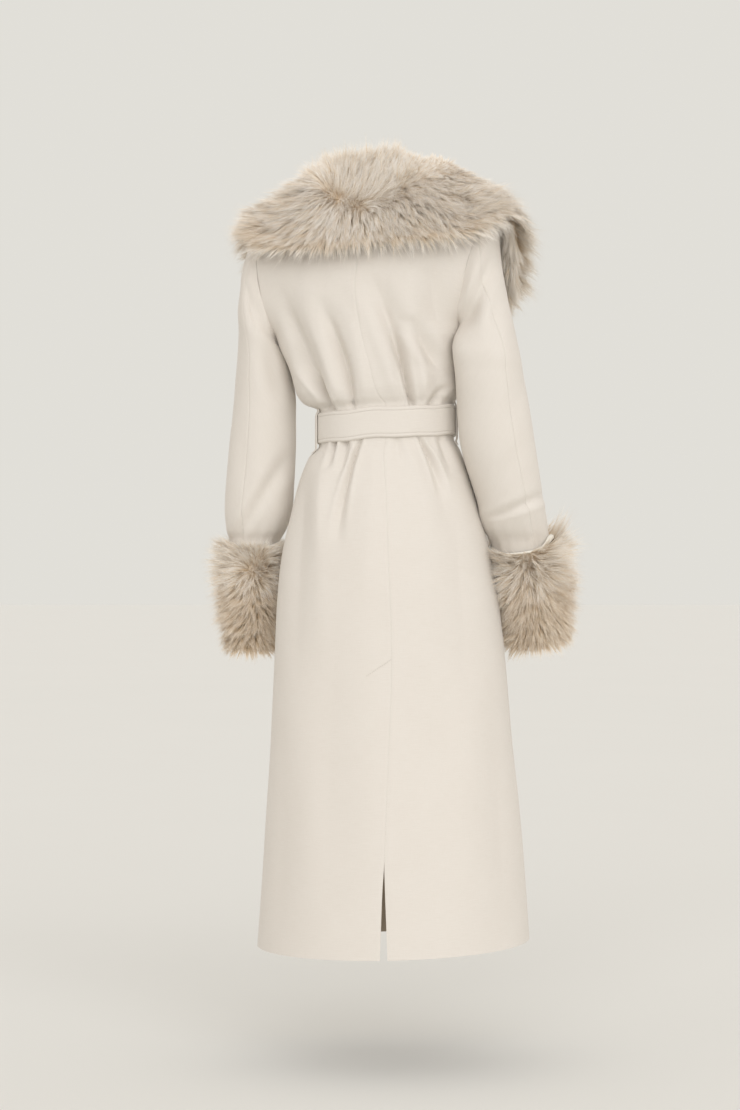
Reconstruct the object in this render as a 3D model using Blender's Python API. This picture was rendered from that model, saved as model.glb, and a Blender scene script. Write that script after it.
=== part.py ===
"""Long wool coat with a fur shawl collar, fur cuffs and a tied belt, hollow and shaped as it is worn.

Units are metres, +Z is up. The origin is the middle of the neck opening at the nape, where the wearer
carries the coat. The back faces +Y and the wearer's left side is +X.
"""

import math
from collections import namedtuple

import bmesh
import bpy
import numpy as np
from mathutils.bvhtree import BVHTree

# Driving sizes
CLOTH = 0.0024  # wool coating, wall thickness
SEAM = 0.0003  # gap between two pieces at a seam
ELLIPSE = 0.5523  # Bezier handle of a quarter ellipse, as a share of its half axis

HEM_HEIGHT = -1.360
HEM_DIP, HEM_DIP_RISE = 0.005, 0.350  # how much lower the hem hangs at the middles, and over what height
NEAR = 0.002  # step that a surface's slope is taken over
ROW_FROM, ROW_TO, ROW_STEPS = -0.95, 0.999, 800  # part of a row that a line is looked for in

UNDERARM_HEIGHT, UNDERARM_X = -0.262, 0.168
SHOULDER_TIP_HEIGHT, SHOULDER_TIP_X = -0.050, 0.214
ARMHOLE_BACK, ARMHOLE_FRONT = 0.062, 0.055  # how far the armhole reaches behind and before the shoulder line
NECK_HALF_WIDTH = 0.075
NECK_HANDLE = (0.055, 0.0, 0.012)  # leads the neckline sideways from the nape
SHOULDER_HANDLE = (-0.134, 0.0, 0.072)  # leads the shoulder seam inwards from the shoulder tip
NECK_SEAM = 0.0035  # how far the shoulder panels stop short of the shoulder line, as a share of their rise

BELT_HEIGHT = -0.432
BELT_WIDTH = 0.055
BELT_THICKNESS = 0.0036
BELT_EASE = 0.0007  # gap between the belt and the gathered cloth
LOOP_WIDTH, LOOP_THICKNESS, LOOP_EASE = 0.010, 0.0022, 0.0023
LOOP_TOP, LOOP_BOTTOM = -0.398, -0.476
LOOP_TURN = 0.22  # how far each loop lies towards the back of its side seam, as a turn round the waist
LOOP_BEND = 0.16  # share of the loop's length in which each end bows out over the belt
KNOT_X = 0.020  # the knot's place beside the middle of the front
KNOT_WIDTH, KNOT_HEIGHT, KNOT_DEPTH = 0.058, 0.064, 0.034
KNOT_TAPER, KNOT_SQUARE, KNOT_PLUMP = 0.75, 0.7, 0.8  # how its ends draw in, and how full it is
KNOT_BEND = 0.160  # half width of the ellipse that the knot's back follows round the belt

# The belt's free ends: beside the knot at the top and at the bottom, how far out they lie, and their length
Tail = namedtuple("Tail", "start end lift length")
TAILS = {
    "left": Tail(0.004, 0.050, 0.0095, 0.400),
    "right": Tail(-0.004, -0.030, 0.0045, 0.360),
}
TAIL_WIDTH = 0.052
TAIL_BEND = 1.2  # how a tail bends back beside the middle, per metre squared

VENT_OPENS, VENT_GAP = -1.225, 0.0065  # where the vent's edges part, and half the slit's width at the hem

# The body by height: sideways shift, half width, depth behind and before the axis, twist in degrees
# towards the wearer's left, how much one side drops per metre across, and the back seam beside the axis
Section = namedtuple("Section", "height shift half_width back front twist tilt seam")
BODY = [
    Section(-1.366, -0.0150, 0.2450, 0.190, 0.140, 0, 0.026, 0.0185),
    Section(-1.260, -0.0150, 0.2380, 0.183, 0.136, 0, 0.028, 0.0185),
    Section(-1.112, -0.0135, 0.2270, 0.173, 0.132, 0, 0.032, 0.0125),
    Section(-1.003, -0.0110, 0.2170, 0.164, 0.130, 0, 0.036, 0.0055),
    Section(-0.859, -0.0080, 0.2070, 0.153, 0.128, 0, 0.040, -0.0025),
    Section(-0.751, -0.0040, 0.1980, 0.147, 0.127, 0, 0.045, -0.0045),
    Section(-0.659, 0.0000, 0.1850, 0.140, 0.124, 0, 0.050, -0.0045),
    Section(-0.572, 0.0020, 0.1655, 0.126, 0.116, 0, 0.055, -0.0040),
    Section(-0.520, 0.0025, 0.1505, 0.113, 0.108, 0, 0.058, -0.0010),
    Section(-0.482, 0.0015, 0.1350, 0.101, 0.101, 0, 0.059, 0.0020),
    Section(-0.463, -0.0025, 0.1215, 0.095, 0.097, 0, 0.059, 0.0030),
    Section(-0.400, -0.0025, 0.1215, 0.095, 0.097, 0, 0.059, 0.0030),
    Section(-0.386, 0.0060, 0.1390, 0.103, 0.107, 2, 0.058, 0.0020),
    Section(-0.366, 0.0110, 0.1480, 0.110, 0.116, 4, 0.057, 0.0010),
    Section(-0.330, 0.0160, 0.1500, 0.113, 0.122, 6, 0.056, 0.0000),
    Section(-0.262, 0.0270, 0.1680, 0.113, 0.125, 9, 0.055, 0.0000),
    Section(-0.200, 0.0320, 0.1750, 0.112, 0.118, 11, 0.055, 0.0000),
    Section(-0.120, 0.0250, 0.1750, 0.106, 0.090, 12, 0.055, 0.0000),
    Section(0.000, 0.0060, 0.1750, 0.060, 0.060, 12, 0.055, 0.0000),
    Section(0.080, 0.0000, 0.1750, 0.060, 0.060, 12, 0.055, 0.0000),
]

# The centre line above the underarm, from the underarm's level (0) to the neck (1)
Centre = namedtuple("Centre", "rise back front")
CENTRE = [
    Centre(0.00, 0.113, -0.125),
    Centre(0.30, 0.112, -0.118),
    Centre(0.60, 0.104, -0.085),
    Centre(0.85, 0.082, 0.000),
    Centre(1.00, 0.060, 0.060),
]

# The front edge by height, measured from the middle towards its own side; below zero it crosses the middle
FrontEdge = namedtuple("FrontEdge", "height reach")
FRONT_EDGE = [
    FrontEdge(-1.370, -0.080),
    FrontEdge(-0.700, -0.060),
    FrontEdge(-0.460, -0.036),
    FrontEdge(-0.385, -0.015),
    FrontEdge(-0.200, 0.027),
    FrontEdge(0.010, 0.075),
    FrontEdge(0.080, 0.075),
]
UNDERLAP = CLOTH + 0.0022  # how far the left front lies inside the right one
UNDERLAP_FULL, UNDERLAP_NONE = 0.100, 0.150  # how far towards the left it does, and where it is back outside
UNDERLAP_LOW, UNDERLAP_HIGH = -0.330, -0.230

# Folds: a line from its top to its bottom, its half width, its depth inwards (below zero it is a ridge),
# and where along it the fold is deepest, from 0 at the top to 1 at the bottom
Fold = namedtuple("Fold", "top_x top_height low_x low_height width depth peak")
BACK_FOLDS = [
    Fold(0.180, -0.190, 0.093, -0.412, 0.016, 0.0075, 0.85),
    Fold(0.120, -0.300, 0.079, -0.412, 0.010, 0.0055, 0.90),
    Fold(0.108, -0.215, 0.047, -0.412, 0.016, 0.0085, 0.85),
    Fold(0.027, -0.175, -0.044, -0.412, 0.018, 0.0090, 0.75),
    Fold(-0.040, -0.250, -0.086, -0.412, 0.015, 0.0065, 0.85),
    Fold(-0.060, -0.170, -0.070, -0.300, 0.020, 0.0040, 0.50),
    Fold(0.087, -0.452, 0.103, -0.520, 0.010, 0.0070, 0.25),
    Fold(0.043, -0.452, 0.084, -0.640, 0.012, 0.0075, 0.20),
    Fold(-0.056, -0.452, -0.106, -0.580, 0.012, 0.0075, 0.25),
    Fold(0.135, -0.520, 0.152, -0.860, 0.030, 0.0050, 0.45),
    Fold(0.020, -0.470, 0.040, -0.760, 0.035, -0.0035, 0.50),
    Fold(-0.120, -0.560, -0.150, -0.950, 0.035, 0.0035, 0.45),
]
FRONT_FOLDS = [
    Fold(0.130, -0.270, 0.088, -0.412, 0.015, 0.0070, 0.85),
    Fold(0.095, -0.300, 0.062, -0.412, 0.012, 0.0060, 0.90),
    Fold(-0.125, -0.280, -0.085, -0.412, 0.015, 0.0070, 0.85),
    Fold(-0.085, -0.300, -0.055, -0.412, 0.012, 0.0060, 0.90),
    Fold(0.075, -0.452, 0.105, -0.640, 0.013, 0.0070, 0.20),
    Fold(-0.070, -0.452, -0.100, -0.600, 0.013, 0.0070, 0.20),
    Fold(-0.030, -0.452, -0.050, -0.560, 0.011, 0.0050, 0.20),
    Fold(0.140, -0.560, 0.160, -1.000, 0.035, 0.0045, 0.45),
    Fold(-0.140, -0.600, -0.160, -1.050, 0.035, 0.0045, 0.45),
]
FOLDS = {"back": BACK_FOLDS, "front": FRONT_FOLDS}

# The sleeve head in the upright coat: each ring runs from the underarm side to the outer side
Cap = namedtuple("Cap", "inner_x inner_height outer_x outer_height half_depth")
SLEEVE_HEADS = {
    "left": [
        Cap(0.1725, -0.2680, 0.2270, -0.095, 0.0650),
        Cap(0.1735, -0.2780, 0.2330, -0.165, 0.0675),
    ],
    "right": [
        Cap(0.1720, -0.2690, 0.2290, -0.098, 0.0650),
        Cap(0.1720, -0.2800, 0.2440, -0.172, 0.0675),
    ],
}

# The sleeves below the head, as the arms hang
Arm = namedtuple("Arm", "height x y half_width half_depth")
ARMS = {
    "left": [
        Arm(-0.300, 0.2275, -0.045, 0.0400, 0.0680),
        Arm(-0.345, 0.2255, -0.048, 0.0460, 0.0670),
        Arm(-0.395, 0.2205, -0.050, 0.0550, 0.0650),
        Arm(-0.474, 0.2230, -0.056, 0.0610, 0.0630),
        Arm(-0.565, 0.2310, -0.066, 0.0610, 0.0620),
        Arm(-0.615, 0.2360, -0.074, 0.0550, 0.0570),
        Arm(-0.636, 0.2385, -0.079, 0.0478, 0.0510),
        Arm(-0.647, 0.2395, -0.080, 0.0460, 0.0495),
        Arm(-0.665, 0.2392, -0.0823, 0.0457, 0.0490),
    ],
    "right": [
        Arm(-0.300, -0.1840, 0.066, 0.0530, 0.0660),
        Arm(-0.345, -0.1860, 0.066, 0.0590, 0.0650),
        Arm(-0.395, -0.1908, 0.062, 0.0637, 0.0640),
        Arm(-0.474, -0.2010, 0.053, 0.0665, 0.0630),
        Arm(-0.565, -0.2230, 0.030, 0.0600, 0.0620),
        Arm(-0.615, -0.2360, 0.010, 0.0570, 0.0570),
        Arm(-0.636, -0.2425, 0.000, 0.0547, 0.0512),
        Arm(-0.647, -0.2452, -0.005, 0.0542, 0.0503),
        Arm(-0.665, -0.2480, -0.011, 0.0542, 0.0502),
    ],
}
HINDARM_SEAM, FOREARM_SEAM = math.radians(65), math.radians(-130)  # turn from the outer side towards the back
SLEEVE_FOLDS = {
    "left": [
        Fold(0.165, -0.470, 0.255, -0.640, 0.014, 0.0055, 0.45),
        Fold(0.185, -0.540, 0.245, -0.650, 0.010, 0.0035, 0.50),
    ],
    "right": [
        Fold(-0.240, -0.180, -0.165, -0.330, 0.014, 0.0055, 0.55),
        Fold(-0.275, -0.560, -0.200, -0.600, 0.014, 0.0040, 0.50),
    ],
}
SLEEVE_SEAM = SEAM / 2 / 0.028  # half a seam's gap, as a turn round the sleeve
ARMHOLE_GAP, SHOULDER_GAP = 0.0007, 0.0024  # gap at the armhole seam, and what is added at the shoulder tip
SHOULDER_GAP_FROM = 0.2  # cosine of the turn where the added gap begins
FOLD_NONE, FOLD_FULL = -0.2, 0.4  # sines of the turns where a sleeve's folds begin and are whole

# The collar by its place on the neckline: 0 at the centre back, 1 at the shoulder, 2 at the end of the front
# The edge is where the skin under the fur ends, and the loft is the height of the fur over the skin
Collar = namedtuple("Collar", "place stand edge_x edge_y edge_height loft")
COLLARS = {
    "left": [
        Collar(0.00, 0.040, 0.000, 0.128, -0.112, 0.030),
        Collar(0.45, 0.038, 0.095, 0.122, -0.112, 0.030),
        Collar(0.80, 0.030, 0.172, 0.092, -0.104, 0.030),
        Collar(1.00, 0.024, 0.228, 0.032, -0.070, 0.028),
        Collar(1.12, 0.018, 0.236, -0.040, -0.094, 0.027),
        Collar(1.30, 0.014, 0.205, -0.105, -0.160, 0.027),
        Collar(1.55, 0.012, 0.160, -0.130, -0.235, 0.025),
        Collar(1.80, 0.010, 0.095, -0.143, -0.285, 0.022),
        Collar(2.00, 0.008, 0.040, -0.145, -0.300, 0.014),
    ],
    "right": [
        Collar(0.00, 0.040, 0.000, 0.128, -0.112, 0.030),
        Collar(0.45, 0.038, 0.095, 0.122, -0.112, 0.030),
        Collar(0.80, 0.028, 0.180, 0.094, -0.108, 0.026),
        Collar(1.00, 0.028, 0.240, 0.028, -0.068, 0.022),
        Collar(1.12, 0.022, 0.258, -0.045, -0.122, 0.025),
        Collar(1.30, 0.014, 0.240, -0.108, -0.214, 0.028),
        Collar(1.55, 0.012, 0.166, -0.134, -0.270, 0.025),
        Collar(1.80, 0.010, 0.085, -0.146, -0.320, 0.022),
        Collar(2.00, 0.008, 0.022, -0.146, -0.365, 0.014),
    ],
}
LAPEL_END = {"left": -0.265, "right": -0.355}  # height where each lapel ends on the front edge
LAPEL_LOW = -0.460
COLLAR_SEAT = 0.0009  # gap between the collar's seat and the neckline
COLLAR_CLEARANCE = 0.010  # room between the skin and the shoulders it lies on
DRAPE_RISE, DRAPE_ROUNDS = 0.3, 3  # share of the skin that the room grows over, and how often it is set
ROLL_REACH, FALL_REACH = 2.1, 1.1  # how far the skin's handles lead out, in heights of the stand
FALL_SHARE = 0.45  # how far back from the edge the fall's handle lies
NAPE_LEAN, SHOULDER_LEAN, LAPEL_LEAN = (0.0, 0.25, 1.0), (0.15, 0.0, 1.0), (0.1, -1.0, 0.15)
LAPEL_TURN = 0.5  # place past the shoulder by which the collar stands out to the front
CENTRE_ACROSS = np.array([1.0, 0.0, 0.0])

# The collar's section: along the skin from its seat (0) to its edge (1), then lofts past the edge, and the
# height of the fur there, in lofts
FurPoint = namedtuple("FurPoint", "along height")
COLLAR_SECTION = [
    FurPoint(0.00, 0.10),
    FurPoint(0.10, 0.65),
    FurPoint(0.22, 0.92),
    FurPoint(0.36, 1.00),
    FurPoint(0.50, 1.00),
    FurPoint(0.62, 1.00),
    FurPoint(0.74, 1.00),
    FurPoint(0.86, 0.95),
    FurPoint(1.00, 0.75),
    FurPoint(1.55, 0.30),
]

# A fur cuff along its axis, from its top (0) to its bottom (1)
Ring = namedtuple("Ring", "along inner outer")
CUFF_SECTION = [
    Ring(0.00, 0.0510, 0.060),
    Ring(0.10, 0.0505, 0.075),
    Ring(0.32, 0.0500, 0.083),
    Ring(0.68, 0.0490, 0.082),
    Ring(0.90, 0.0485, 0.072),
    Ring(1.00, 0.0480, 0.058),
]
Cuff = namedtuple("Cuff", "top bottom wide deep flat")
CUFFS = {
    "left": Cuff((0.2395, -0.080, -0.646), (0.2365, -0.104, -0.834), 0.92, 1.05, 0.75),
    "right": Cuff((-0.2450, -0.005, -0.646), (-0.2750, -0.062, -0.815), 1.08, 1.00, 0.92),
}

# How finely the pieces are divided
BACK_COLUMNS, FRONT_COLUMNS = 13, 11
SHOULDER_ROWS = 7
BODY_ROW_HEIGHTS = [
    -1.360, -1.290, -1.225, -1.150, -1.070, -0.990, -0.910, -0.840, -0.770, -0.705, -0.645, -0.595, -0.555,
    -0.522, -0.498, -0.480, -0.464, -0.432, -0.400, -0.388, -0.372, -0.350, -0.322, -0.292,
]
SLEEVE_ROWS, UPPER_SLEEVE_COLUMNS, UNDER_SLEEVE_COLUMNS = 16, 11, 9
COLLAR_STATIONS, NECK_STEPS = 29, 60
CUFF_SIDES, BELT_SIDES, LOOP_ROWS = 24, 44, 9
KNOT_SIDES, KNOT_ROWS = 14, 9
TAIL_ROWS, TAIL_COLUMNS = 13, 5

COLOURS = {
    "wool": ((0.83, 0.77, 0.69), 0.9),
    "fur": ((0.60, 0.50, 0.39), 0.8),
}


# Curves and tables

def glide(table, column, at):
    """A column of a table at any place: a smooth curve through its rows that doesn't overshoot."""
    knots = np.array([row[0] for row in table], float)
    values = np.array([getattr(row, column) for row in table], float)
    step = np.diff(knots)
    slope = np.diff(values) / step
    tangent = np.concatenate([slope[:1], np.zeros(len(slope) - 1), slope[-1:]])
    for i in range(1, len(slope)):
        if slope[i - 1] * slope[i] > 0:
            tangent[i] = 2 * slope[i - 1] * slope[i] / (slope[i - 1] + slope[i])
    at = np.clip(at, knots[0], knots[-1])
    i = np.clip(np.searchsorted(knots, at) - 1, 0, len(step) - 1)
    q = (at - knots[i]) / step[i]
    rise = values[i] * (1 + 2 * q) * (1 - q) ** 2 + values[i + 1] * q * q * (3 - 2 * q)
    return rise + step[i] * q * (1 - q) * (tangent[i] * (1 - q) - tangent[i + 1] * q)


def flow(rings, count):
    """Rings spread evenly along a smooth curve through the given ones, point by point."""
    rings = np.asarray(rings, float)
    padded = np.concatenate([2 * rings[:1] - rings[1:2], rings, 2 * rings[-1:] - rings[-2:-1]])
    at = np.linspace(0, len(rings) - 1, count)
    i = np.minimum(at.astype(int), len(rings) - 2)
    q = (at - i).reshape(-1, *[1] * (rings.ndim - 1))
    a, b, c, d = padded[i], padded[i + 1], padded[i + 2], padded[i + 3]
    return b + 0.5 * q * (c - a + q * (2 * a - 5 * b + 4 * c - d + q * (3 * (b - c) + d - a)))


def bezier(handles, t):
    a, b, c, d = (np.asarray(h, float) for h in handles)
    t = np.asarray(t, float)[..., None]
    return a * (1 - t) ** 3 + 3 * b * t * (1 - t) ** 2 + 3 * c * t * t * (1 - t) + d * t**3


def smoothstep(low, high, at):
    q = np.clip((at - low) / (high - low), 0, 1)
    return q * q * (3 - 2 * q)


def mix(a, b, share):
    return np.asarray(a, float) * (1 - share) + np.asarray(b, float) * share


def unit(vectors):
    return vectors / np.linalg.norm(vectors, axis=-1, keepdims=True)


# The coat's form

def pose(points):
    """Leans, twists and tilts the upright coat into the stance it is worn in."""
    x, y, z = np.moveaxis(np.asarray(points, float), -1, 0)
    turn = np.radians(glide(BODY, "twist", z))
    across = x * np.cos(turn) + y * np.sin(turn)
    along = y * np.cos(turn) - x * np.sin(turn)
    return np.stack([across + glide(BODY, "shift", z), along, z - glide(BODY, "tilt", z) * across], axis=-1)


def armhole(turn):
    """The armhole's edge: turn is 0 at the shoulder tip, a quarter at the back and half at the underarm."""
    rise = (1 + np.cos(turn)) / 2
    depth = np.where(np.sin(turn) > 0, ARMHOLE_BACK, ARMHOLE_FRONT)
    x = mix(UNDERARM_X, SHOULDER_TIP_X, rise)
    return np.stack([x, depth * np.sin(turn), mix(UNDERARM_HEIGHT, SHOULDER_TIP_HEIGHT, rise)], axis=-1)


def row_handles(level, side):
    """Bezier handles of half a row of the body, from the centre line to the side seam or armhole.

    A level below 0 is metres under the underarm, and from 0 to 1 it rises from there to the shoulder line.
    """
    sign = 1 if side == "back" else -1
    height = UNDERARM_HEIGHT + min(level, 0)
    half = float(glide(BODY, "half_width", height))
    depth = sign * float(glide(BODY, side, height))
    along = np.array([ELLIPSE * half, 0, 0])
    inward = np.array([0, ELLIPSE * depth, 0])
    if level <= 0:
        start = np.array([0, depth, height])
        end = np.array([half, 0, height])
        return start, start + along, end + inward, end
    start = np.array([0, float(glide(CENTRE, side, level)), UNDERARM_HEIGHT * (1 - level)])
    end = armhole(np.array(sign * math.pi * (1 - level)))
    return start, start + mix(along, NECK_HANDLE, level), end + mix(inward, SHOULDER_HANDLE, level), end


def row_points(level, side, t):
    """Points of a whole row: t runs from -1 at the right side over 0 at the centre to 1 at the left side."""
    t = np.asarray(t, float)
    points = bezier(row_handles(level, side), np.abs(t))
    points[..., 0] *= np.where(t < 0, -1, 1)
    return points


def place_of(level, side, x_at_height):
    """The t where a row meets a line that is given as x by height, on the line's own side."""
    t = np.linspace(ROW_FROM, ROW_TO, ROW_STEPS)
    points = row_points(level, side, t)
    return float(np.interp(0, points[:, 0] - x_at_height(points[:, 2]), t))


def levels():
    low = [height - UNDERARM_HEIGHT for height in BODY_ROW_HEIGHTS]
    return low + list(np.linspace(0, 1 - NECK_SEAM, SHOULDER_ROWS + 1))


def fold_depth(folds, x, z):
    """How far the folds push the cloth in at a place seen from behind or before."""
    depth = np.zeros_like(x)
    for fold in folds:
        q = (z - fold.top_height) / (fold.low_height - fold.top_height)
        off = (x - mix(fold.top_x, fold.low_x, q)) / fold.width
        along = np.where(q < fold.peak, q / fold.peak, (1 - q) / (1 - fold.peak))
        depth += fold.depth * np.exp(-off * off) * smoothstep(0, 1, along)
    return depth


def hem_dip(points):
    """Lets the hem hang a little lower away from the side seams."""
    near = 1 - smoothstep(HEM_HEIGHT, HEM_HEIGHT + HEM_DIP_RISE, points[..., 2])
    points[..., 2] -= HEM_DIP * near * np.clip(np.abs(points[..., 1]) / BODY[0].back, 0, 1)
    return points


def underlap(x, z):
    """How far the left front is set in under the right one."""
    beside = 1 - smoothstep(UNDERLAP_FULL, UNDERLAP_NONE, x)
    return UNDERLAP * beside * (1 - smoothstep(UNDERLAP_LOW, UNDERLAP_HIGH, z))


def body_points(level, side, t, under=False):
    """Outer points of the coat's body in its stance, with its folds pushed in."""
    upright = hem_dip(row_points(level, side, t))
    x, y, z = np.moveaxis(upright, -1, 0)
    half, depth = glide(BODY, "half_width", z), glide(BODY, side, z)
    out = unit(np.stack([x / half**2, y / depth**2, 0 * z], axis=-1))
    seen = pose(upright)
    inward = fold_depth(FOLDS[side], seen[..., 0], seen[..., 2])
    if under:
        inward = inward + underlap(x, z)
    return pose(upright - out * inward[..., None])


def seam_step(level, side):
    """The share of a row that the side seam's half gap takes."""
    depth = float(glide(BODY, side, UNDERARM_HEIGHT + min(level, 0)))
    return SEAM / 2 / (3 * ELLIPSE * depth) if level <= 0 else 0.0


def vent_gap(height):
    return SEAM / 2 + VENT_GAP * (1 - float(smoothstep(HEM_HEIGHT, VENT_OPENS, height)))


def back_places(level, hand):
    """Where a row of half the back starts and ends: the back seam or the vent's edge, and the side."""
    height = UNDERARM_HEIGHT + min(level, 0)
    middle = float(glide(BODY, "seam", height)) + hand * vent_gap(height)
    return place_of(level, "back", lambda z: middle), hand * (1 - seam_step(level, "back"))


def front_place(level):
    """Where a front's own edge meets a row, as t on its own side."""
    return place_of(level, "front", lambda z: glide(FRONT_EDGE, "reach", z))


def front_places(level, hand):
    return hand * front_place(level), hand * (1 - seam_step(level, "front"))


def panel_walls(side, hand, places, columns):
    """Outer and inner points of a panel; its rims are square to the seams, as slopes are taken across them."""
    under = side == "front" and hand > 0
    outer, ahead = [], []
    for level in levels():
        t = np.linspace(*sorted(places(level, hand)), columns + 1)
        outer.append(body_points(level, side, t, under))
        fore, hind = np.clip(t + NEAR, -1, 1), np.clip(t - NEAR, -1, 1)
        ahead.append(body_points(level, side, fore, under) - body_points(level, side, hind, under))
    outer, ahead = np.array(outer), unit(np.array(ahead))
    out = unit(np.cross(ahead, np.gradient(outer, axis=0))) * (-1 if side == "back" else 1)
    out[-1] = unit(np.array([0, 0, 1]) - ahead[-1] * ahead[-1][:, 2:])
    return outer, outer - out * CLOTH


def sleeve_rings(side, turns):
    """Rings of a sleeve from the armhole to the cuff; turn 0 is the outer side, a quarter turn the back."""
    hand = 1 if side == "left" else -1
    head = armhole(turns)
    head[:, 0] += ARMHOLE_GAP + SHOULDER_GAP * smoothstep(SHOULDER_GAP_FROM, 1, np.cos(turns))
    rings = [head]
    for cap in SLEEVE_HEADS[side]:
        inner = np.array([cap.inner_x, 0, cap.inner_height])
        outer = np.array([cap.outer_x, 0, cap.outer_height])
        across = np.outer(np.cos(turns), (outer - inner) / 2)
        rings.append((inner + outer) / 2 + across + np.outer(np.sin(turns), (0, cap.half_depth, 0)))
    rings = [pose(ring * (hand, 1, 1)) for ring in rings]
    for arm in ARMS[side]:
        across = np.outer(np.cos(turns), (hand * arm.half_width, 0, 0))
        rings.append((arm.x, arm.y, arm.height) + across + np.outer(np.sin(turns), (0, arm.half_depth, 0)))
    return rings


def sleeve_points(side, turns):
    """Outer points of a sleeve with the folds that show from behind pushed in."""
    grid = flow(sleeve_rings(side, turns), SLEEVE_ROWS + 1)
    hand = 1 if side == "left" else -1
    out = np.stack([hand * np.cos(turns), np.sin(turns), 0 * turns], axis=-1)
    inward = fold_depth(SLEEVE_FOLDS[side], grid[..., 0], grid[..., 2])
    inward = inward * smoothstep(FOLD_NONE, FOLD_FULL, np.sin(turns))
    return grid - out * inward[..., None]


def sleeve_walls(side, first, last, columns):
    turns = np.linspace(first, last, columns + 1)
    outer = sleeve_points(side, turns)
    ahead = sleeve_points(side, turns + NEAR) - sleeve_points(side, turns - NEAR)
    out = unit(np.cross(np.gradient(outer, axis=0), ahead)) * (1 if side == "left" else -1)
    return outer, outer - out * CLOTH


def front_edge():
    """The upright front edge from the belt to the shoulder, as points that rise."""
    rows = np.linspace(LAPEL_LOW - UNDERARM_HEIGHT, 1 - NECK_SEAM, NECK_STEPS)
    return np.array([row_points(level, "front", np.array([front_place(level)]))[0] for level in rows])


def neckline(place, side, edge):
    """A point of the neckline and which way the collar stands there; see the collar's table for its place."""
    if place <= 1:
        top = 1 - NECK_SEAM
        end = place_of(top, "back", lambda z: NECK_HALF_WIDTH)
        point = row_points(top, "back", np.array([place * end]))[0]
        lean = mix(NAPE_LEAN, SHOULDER_LEAN, place)
    else:
        height = mix(edge[-1][2], LAPEL_END[side], place - 1)
        point = np.array([np.interp(height, edge[:, 2], edge[:, i]) for i in range(3)])
        lean = mix(SHOULDER_LEAN, LAPEL_LEAN, smoothstep(0, LAPEL_TURN, place - 1))
    lean = unit(lean)
    mirror = (1 if side == "left" else -1, 1, 1)
    return (point + lean * COLLAR_SEAT) * mirror, lean * mirror


def collar_skin(row, side, edge):
    """A section of the collar's skin: up the stand, over the roll and down the fall, to past its edge."""
    seat, lean = neckline(row.place, side, edge)
    end = np.array([row.edge_x if side == "left" else -row.edge_x, row.edge_y, row.edge_height])
    roll = seat + ROLL_REACH * row.stand * lean
    fall = mix(end, seat, FALL_SHARE) + FALL_REACH * row.stand * lean
    along = np.array([spot.along for spot in COLLAR_SECTION])
    points = bezier((seat, roll, fall, end), np.minimum(along, 1))
    return points + unit(end - fall) * (np.maximum(along - 1, 0) * row.loft)[:, None]


def drape(points, clearance, tree):
    """Moves points out until each is clear of the cloth below."""
    for spot in np.ndindex(points.shape[:2]):
        for _ in range(DRAPE_ROUNDS):
            near, normal, _, _ = tree.find_nearest(points[spot])
            height = (points[spot] - np.array(near)) @ np.array(normal)
            if height < clearance[spot[1]]:
                points[spot] = np.array(near) + np.array(normal) * clearance[spot[1]]
    return points


def collar_walls(side, tree):
    """Points of the fur's tips and of the skin's underside, from the centre back to the end of the lapel."""
    table, edge = COLLARS[side], front_edge()
    places = flow([row.place for row in table], COLLAR_STATIONS)
    columns = [glide(table, name, places) for name in Collar._fields[1:]]
    skin = np.array([collar_skin(Collar(*row), side, edge) for row in zip(places, *columns)])
    loft = columns[-1]
    skin[0, :, 0] = SEAM / 2 if side == "left" else -SEAM / 2
    along = np.array([spot.along for spot in COLLAR_SECTION])
    height = np.array([spot.height for spot in COLLAR_SECTION])
    skin = drape(pose(skin), COLLAR_CLEARANCE * smoothstep(0, DRAPE_RISE, along), tree)
    out = np.cross(np.gradient(skin, axis=0), np.gradient(skin, axis=1)) * (1 if side == "left" else -1)
    out[0] -= CENTRE_ACROSS * (out[0] @ CENTRE_ACROSS)[:, None]
    return skin + unit(out) * (loft[:, None] * height)[..., None], skin


# Building the pieces

def material(name):
    colour, roughness = COLOURS[name]
    made = bpy.data.materials.get(name) or bpy.data.materials.new(name)
    made.use_nodes = True
    shader = made.node_tree.nodes["Principled BSDF"]
    shader.inputs["Base Color"].default_value = (*colour, 1)
    shader.inputs["Roughness"].default_value = roughness
    shader.inputs["Metallic"].default_value = 0
    return made


def piece(name, points, faces, stuff, parent):
    mesh = bpy.data.meshes.new(name)
    mesh.from_pydata([tuple(p) for p in points], [], faces)
    mesh.materials.append(material(stuff))
    mesh.shade_smooth()
    made = bpy.data.objects.new(name, mesh)
    made.parent = parent
    bpy.context.scene.collection.objects.link(made)
    return made


def grid_faces(rows, columns, wrap, flip):
    faces = []
    for r in range(rows - 1):
        for c in range(columns if wrap else columns - 1):
            d = (c + 1) % columns
            face = (r * columns + c, r * columns + d, (r + 1) * columns + d, (r + 1) * columns + c)
            faces.append(face[::-1] if flip else face)
    return faces


def wall(name, outer, inner, stuff, parent):
    """A solid between two grids of points, closed round its rim."""
    rows, columns = outer.shape[:2]
    count = rows * columns
    faces = grid_faces(rows, columns, False, False)
    faces += [tuple(count + i for i in face[::-1]) for face in grid_faces(rows, columns, False, False)]
    low, high = range(columns), range(count - columns, count)
    left, right = range(0, count, columns), range(columns - 1, count, columns)
    for edge in (low, right, list(high)[::-1], list(left)[::-1]):
        faces += [(b, a, count + a, count + b) for a, b in zip(edge, edge[1:])]
    made = piece(name, np.concatenate([outer.reshape(-1, 3), inner.reshape(-1, 3)]), faces, stuff, parent)
    return face_out(made)


def face_out(made):
    shape = bmesh.new()
    shape.from_mesh(made.data)
    bmesh.ops.recalc_face_normals(shape, faces=shape.faces)
    shape.to_mesh(made.data)
    shape.free()
    return made


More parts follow.
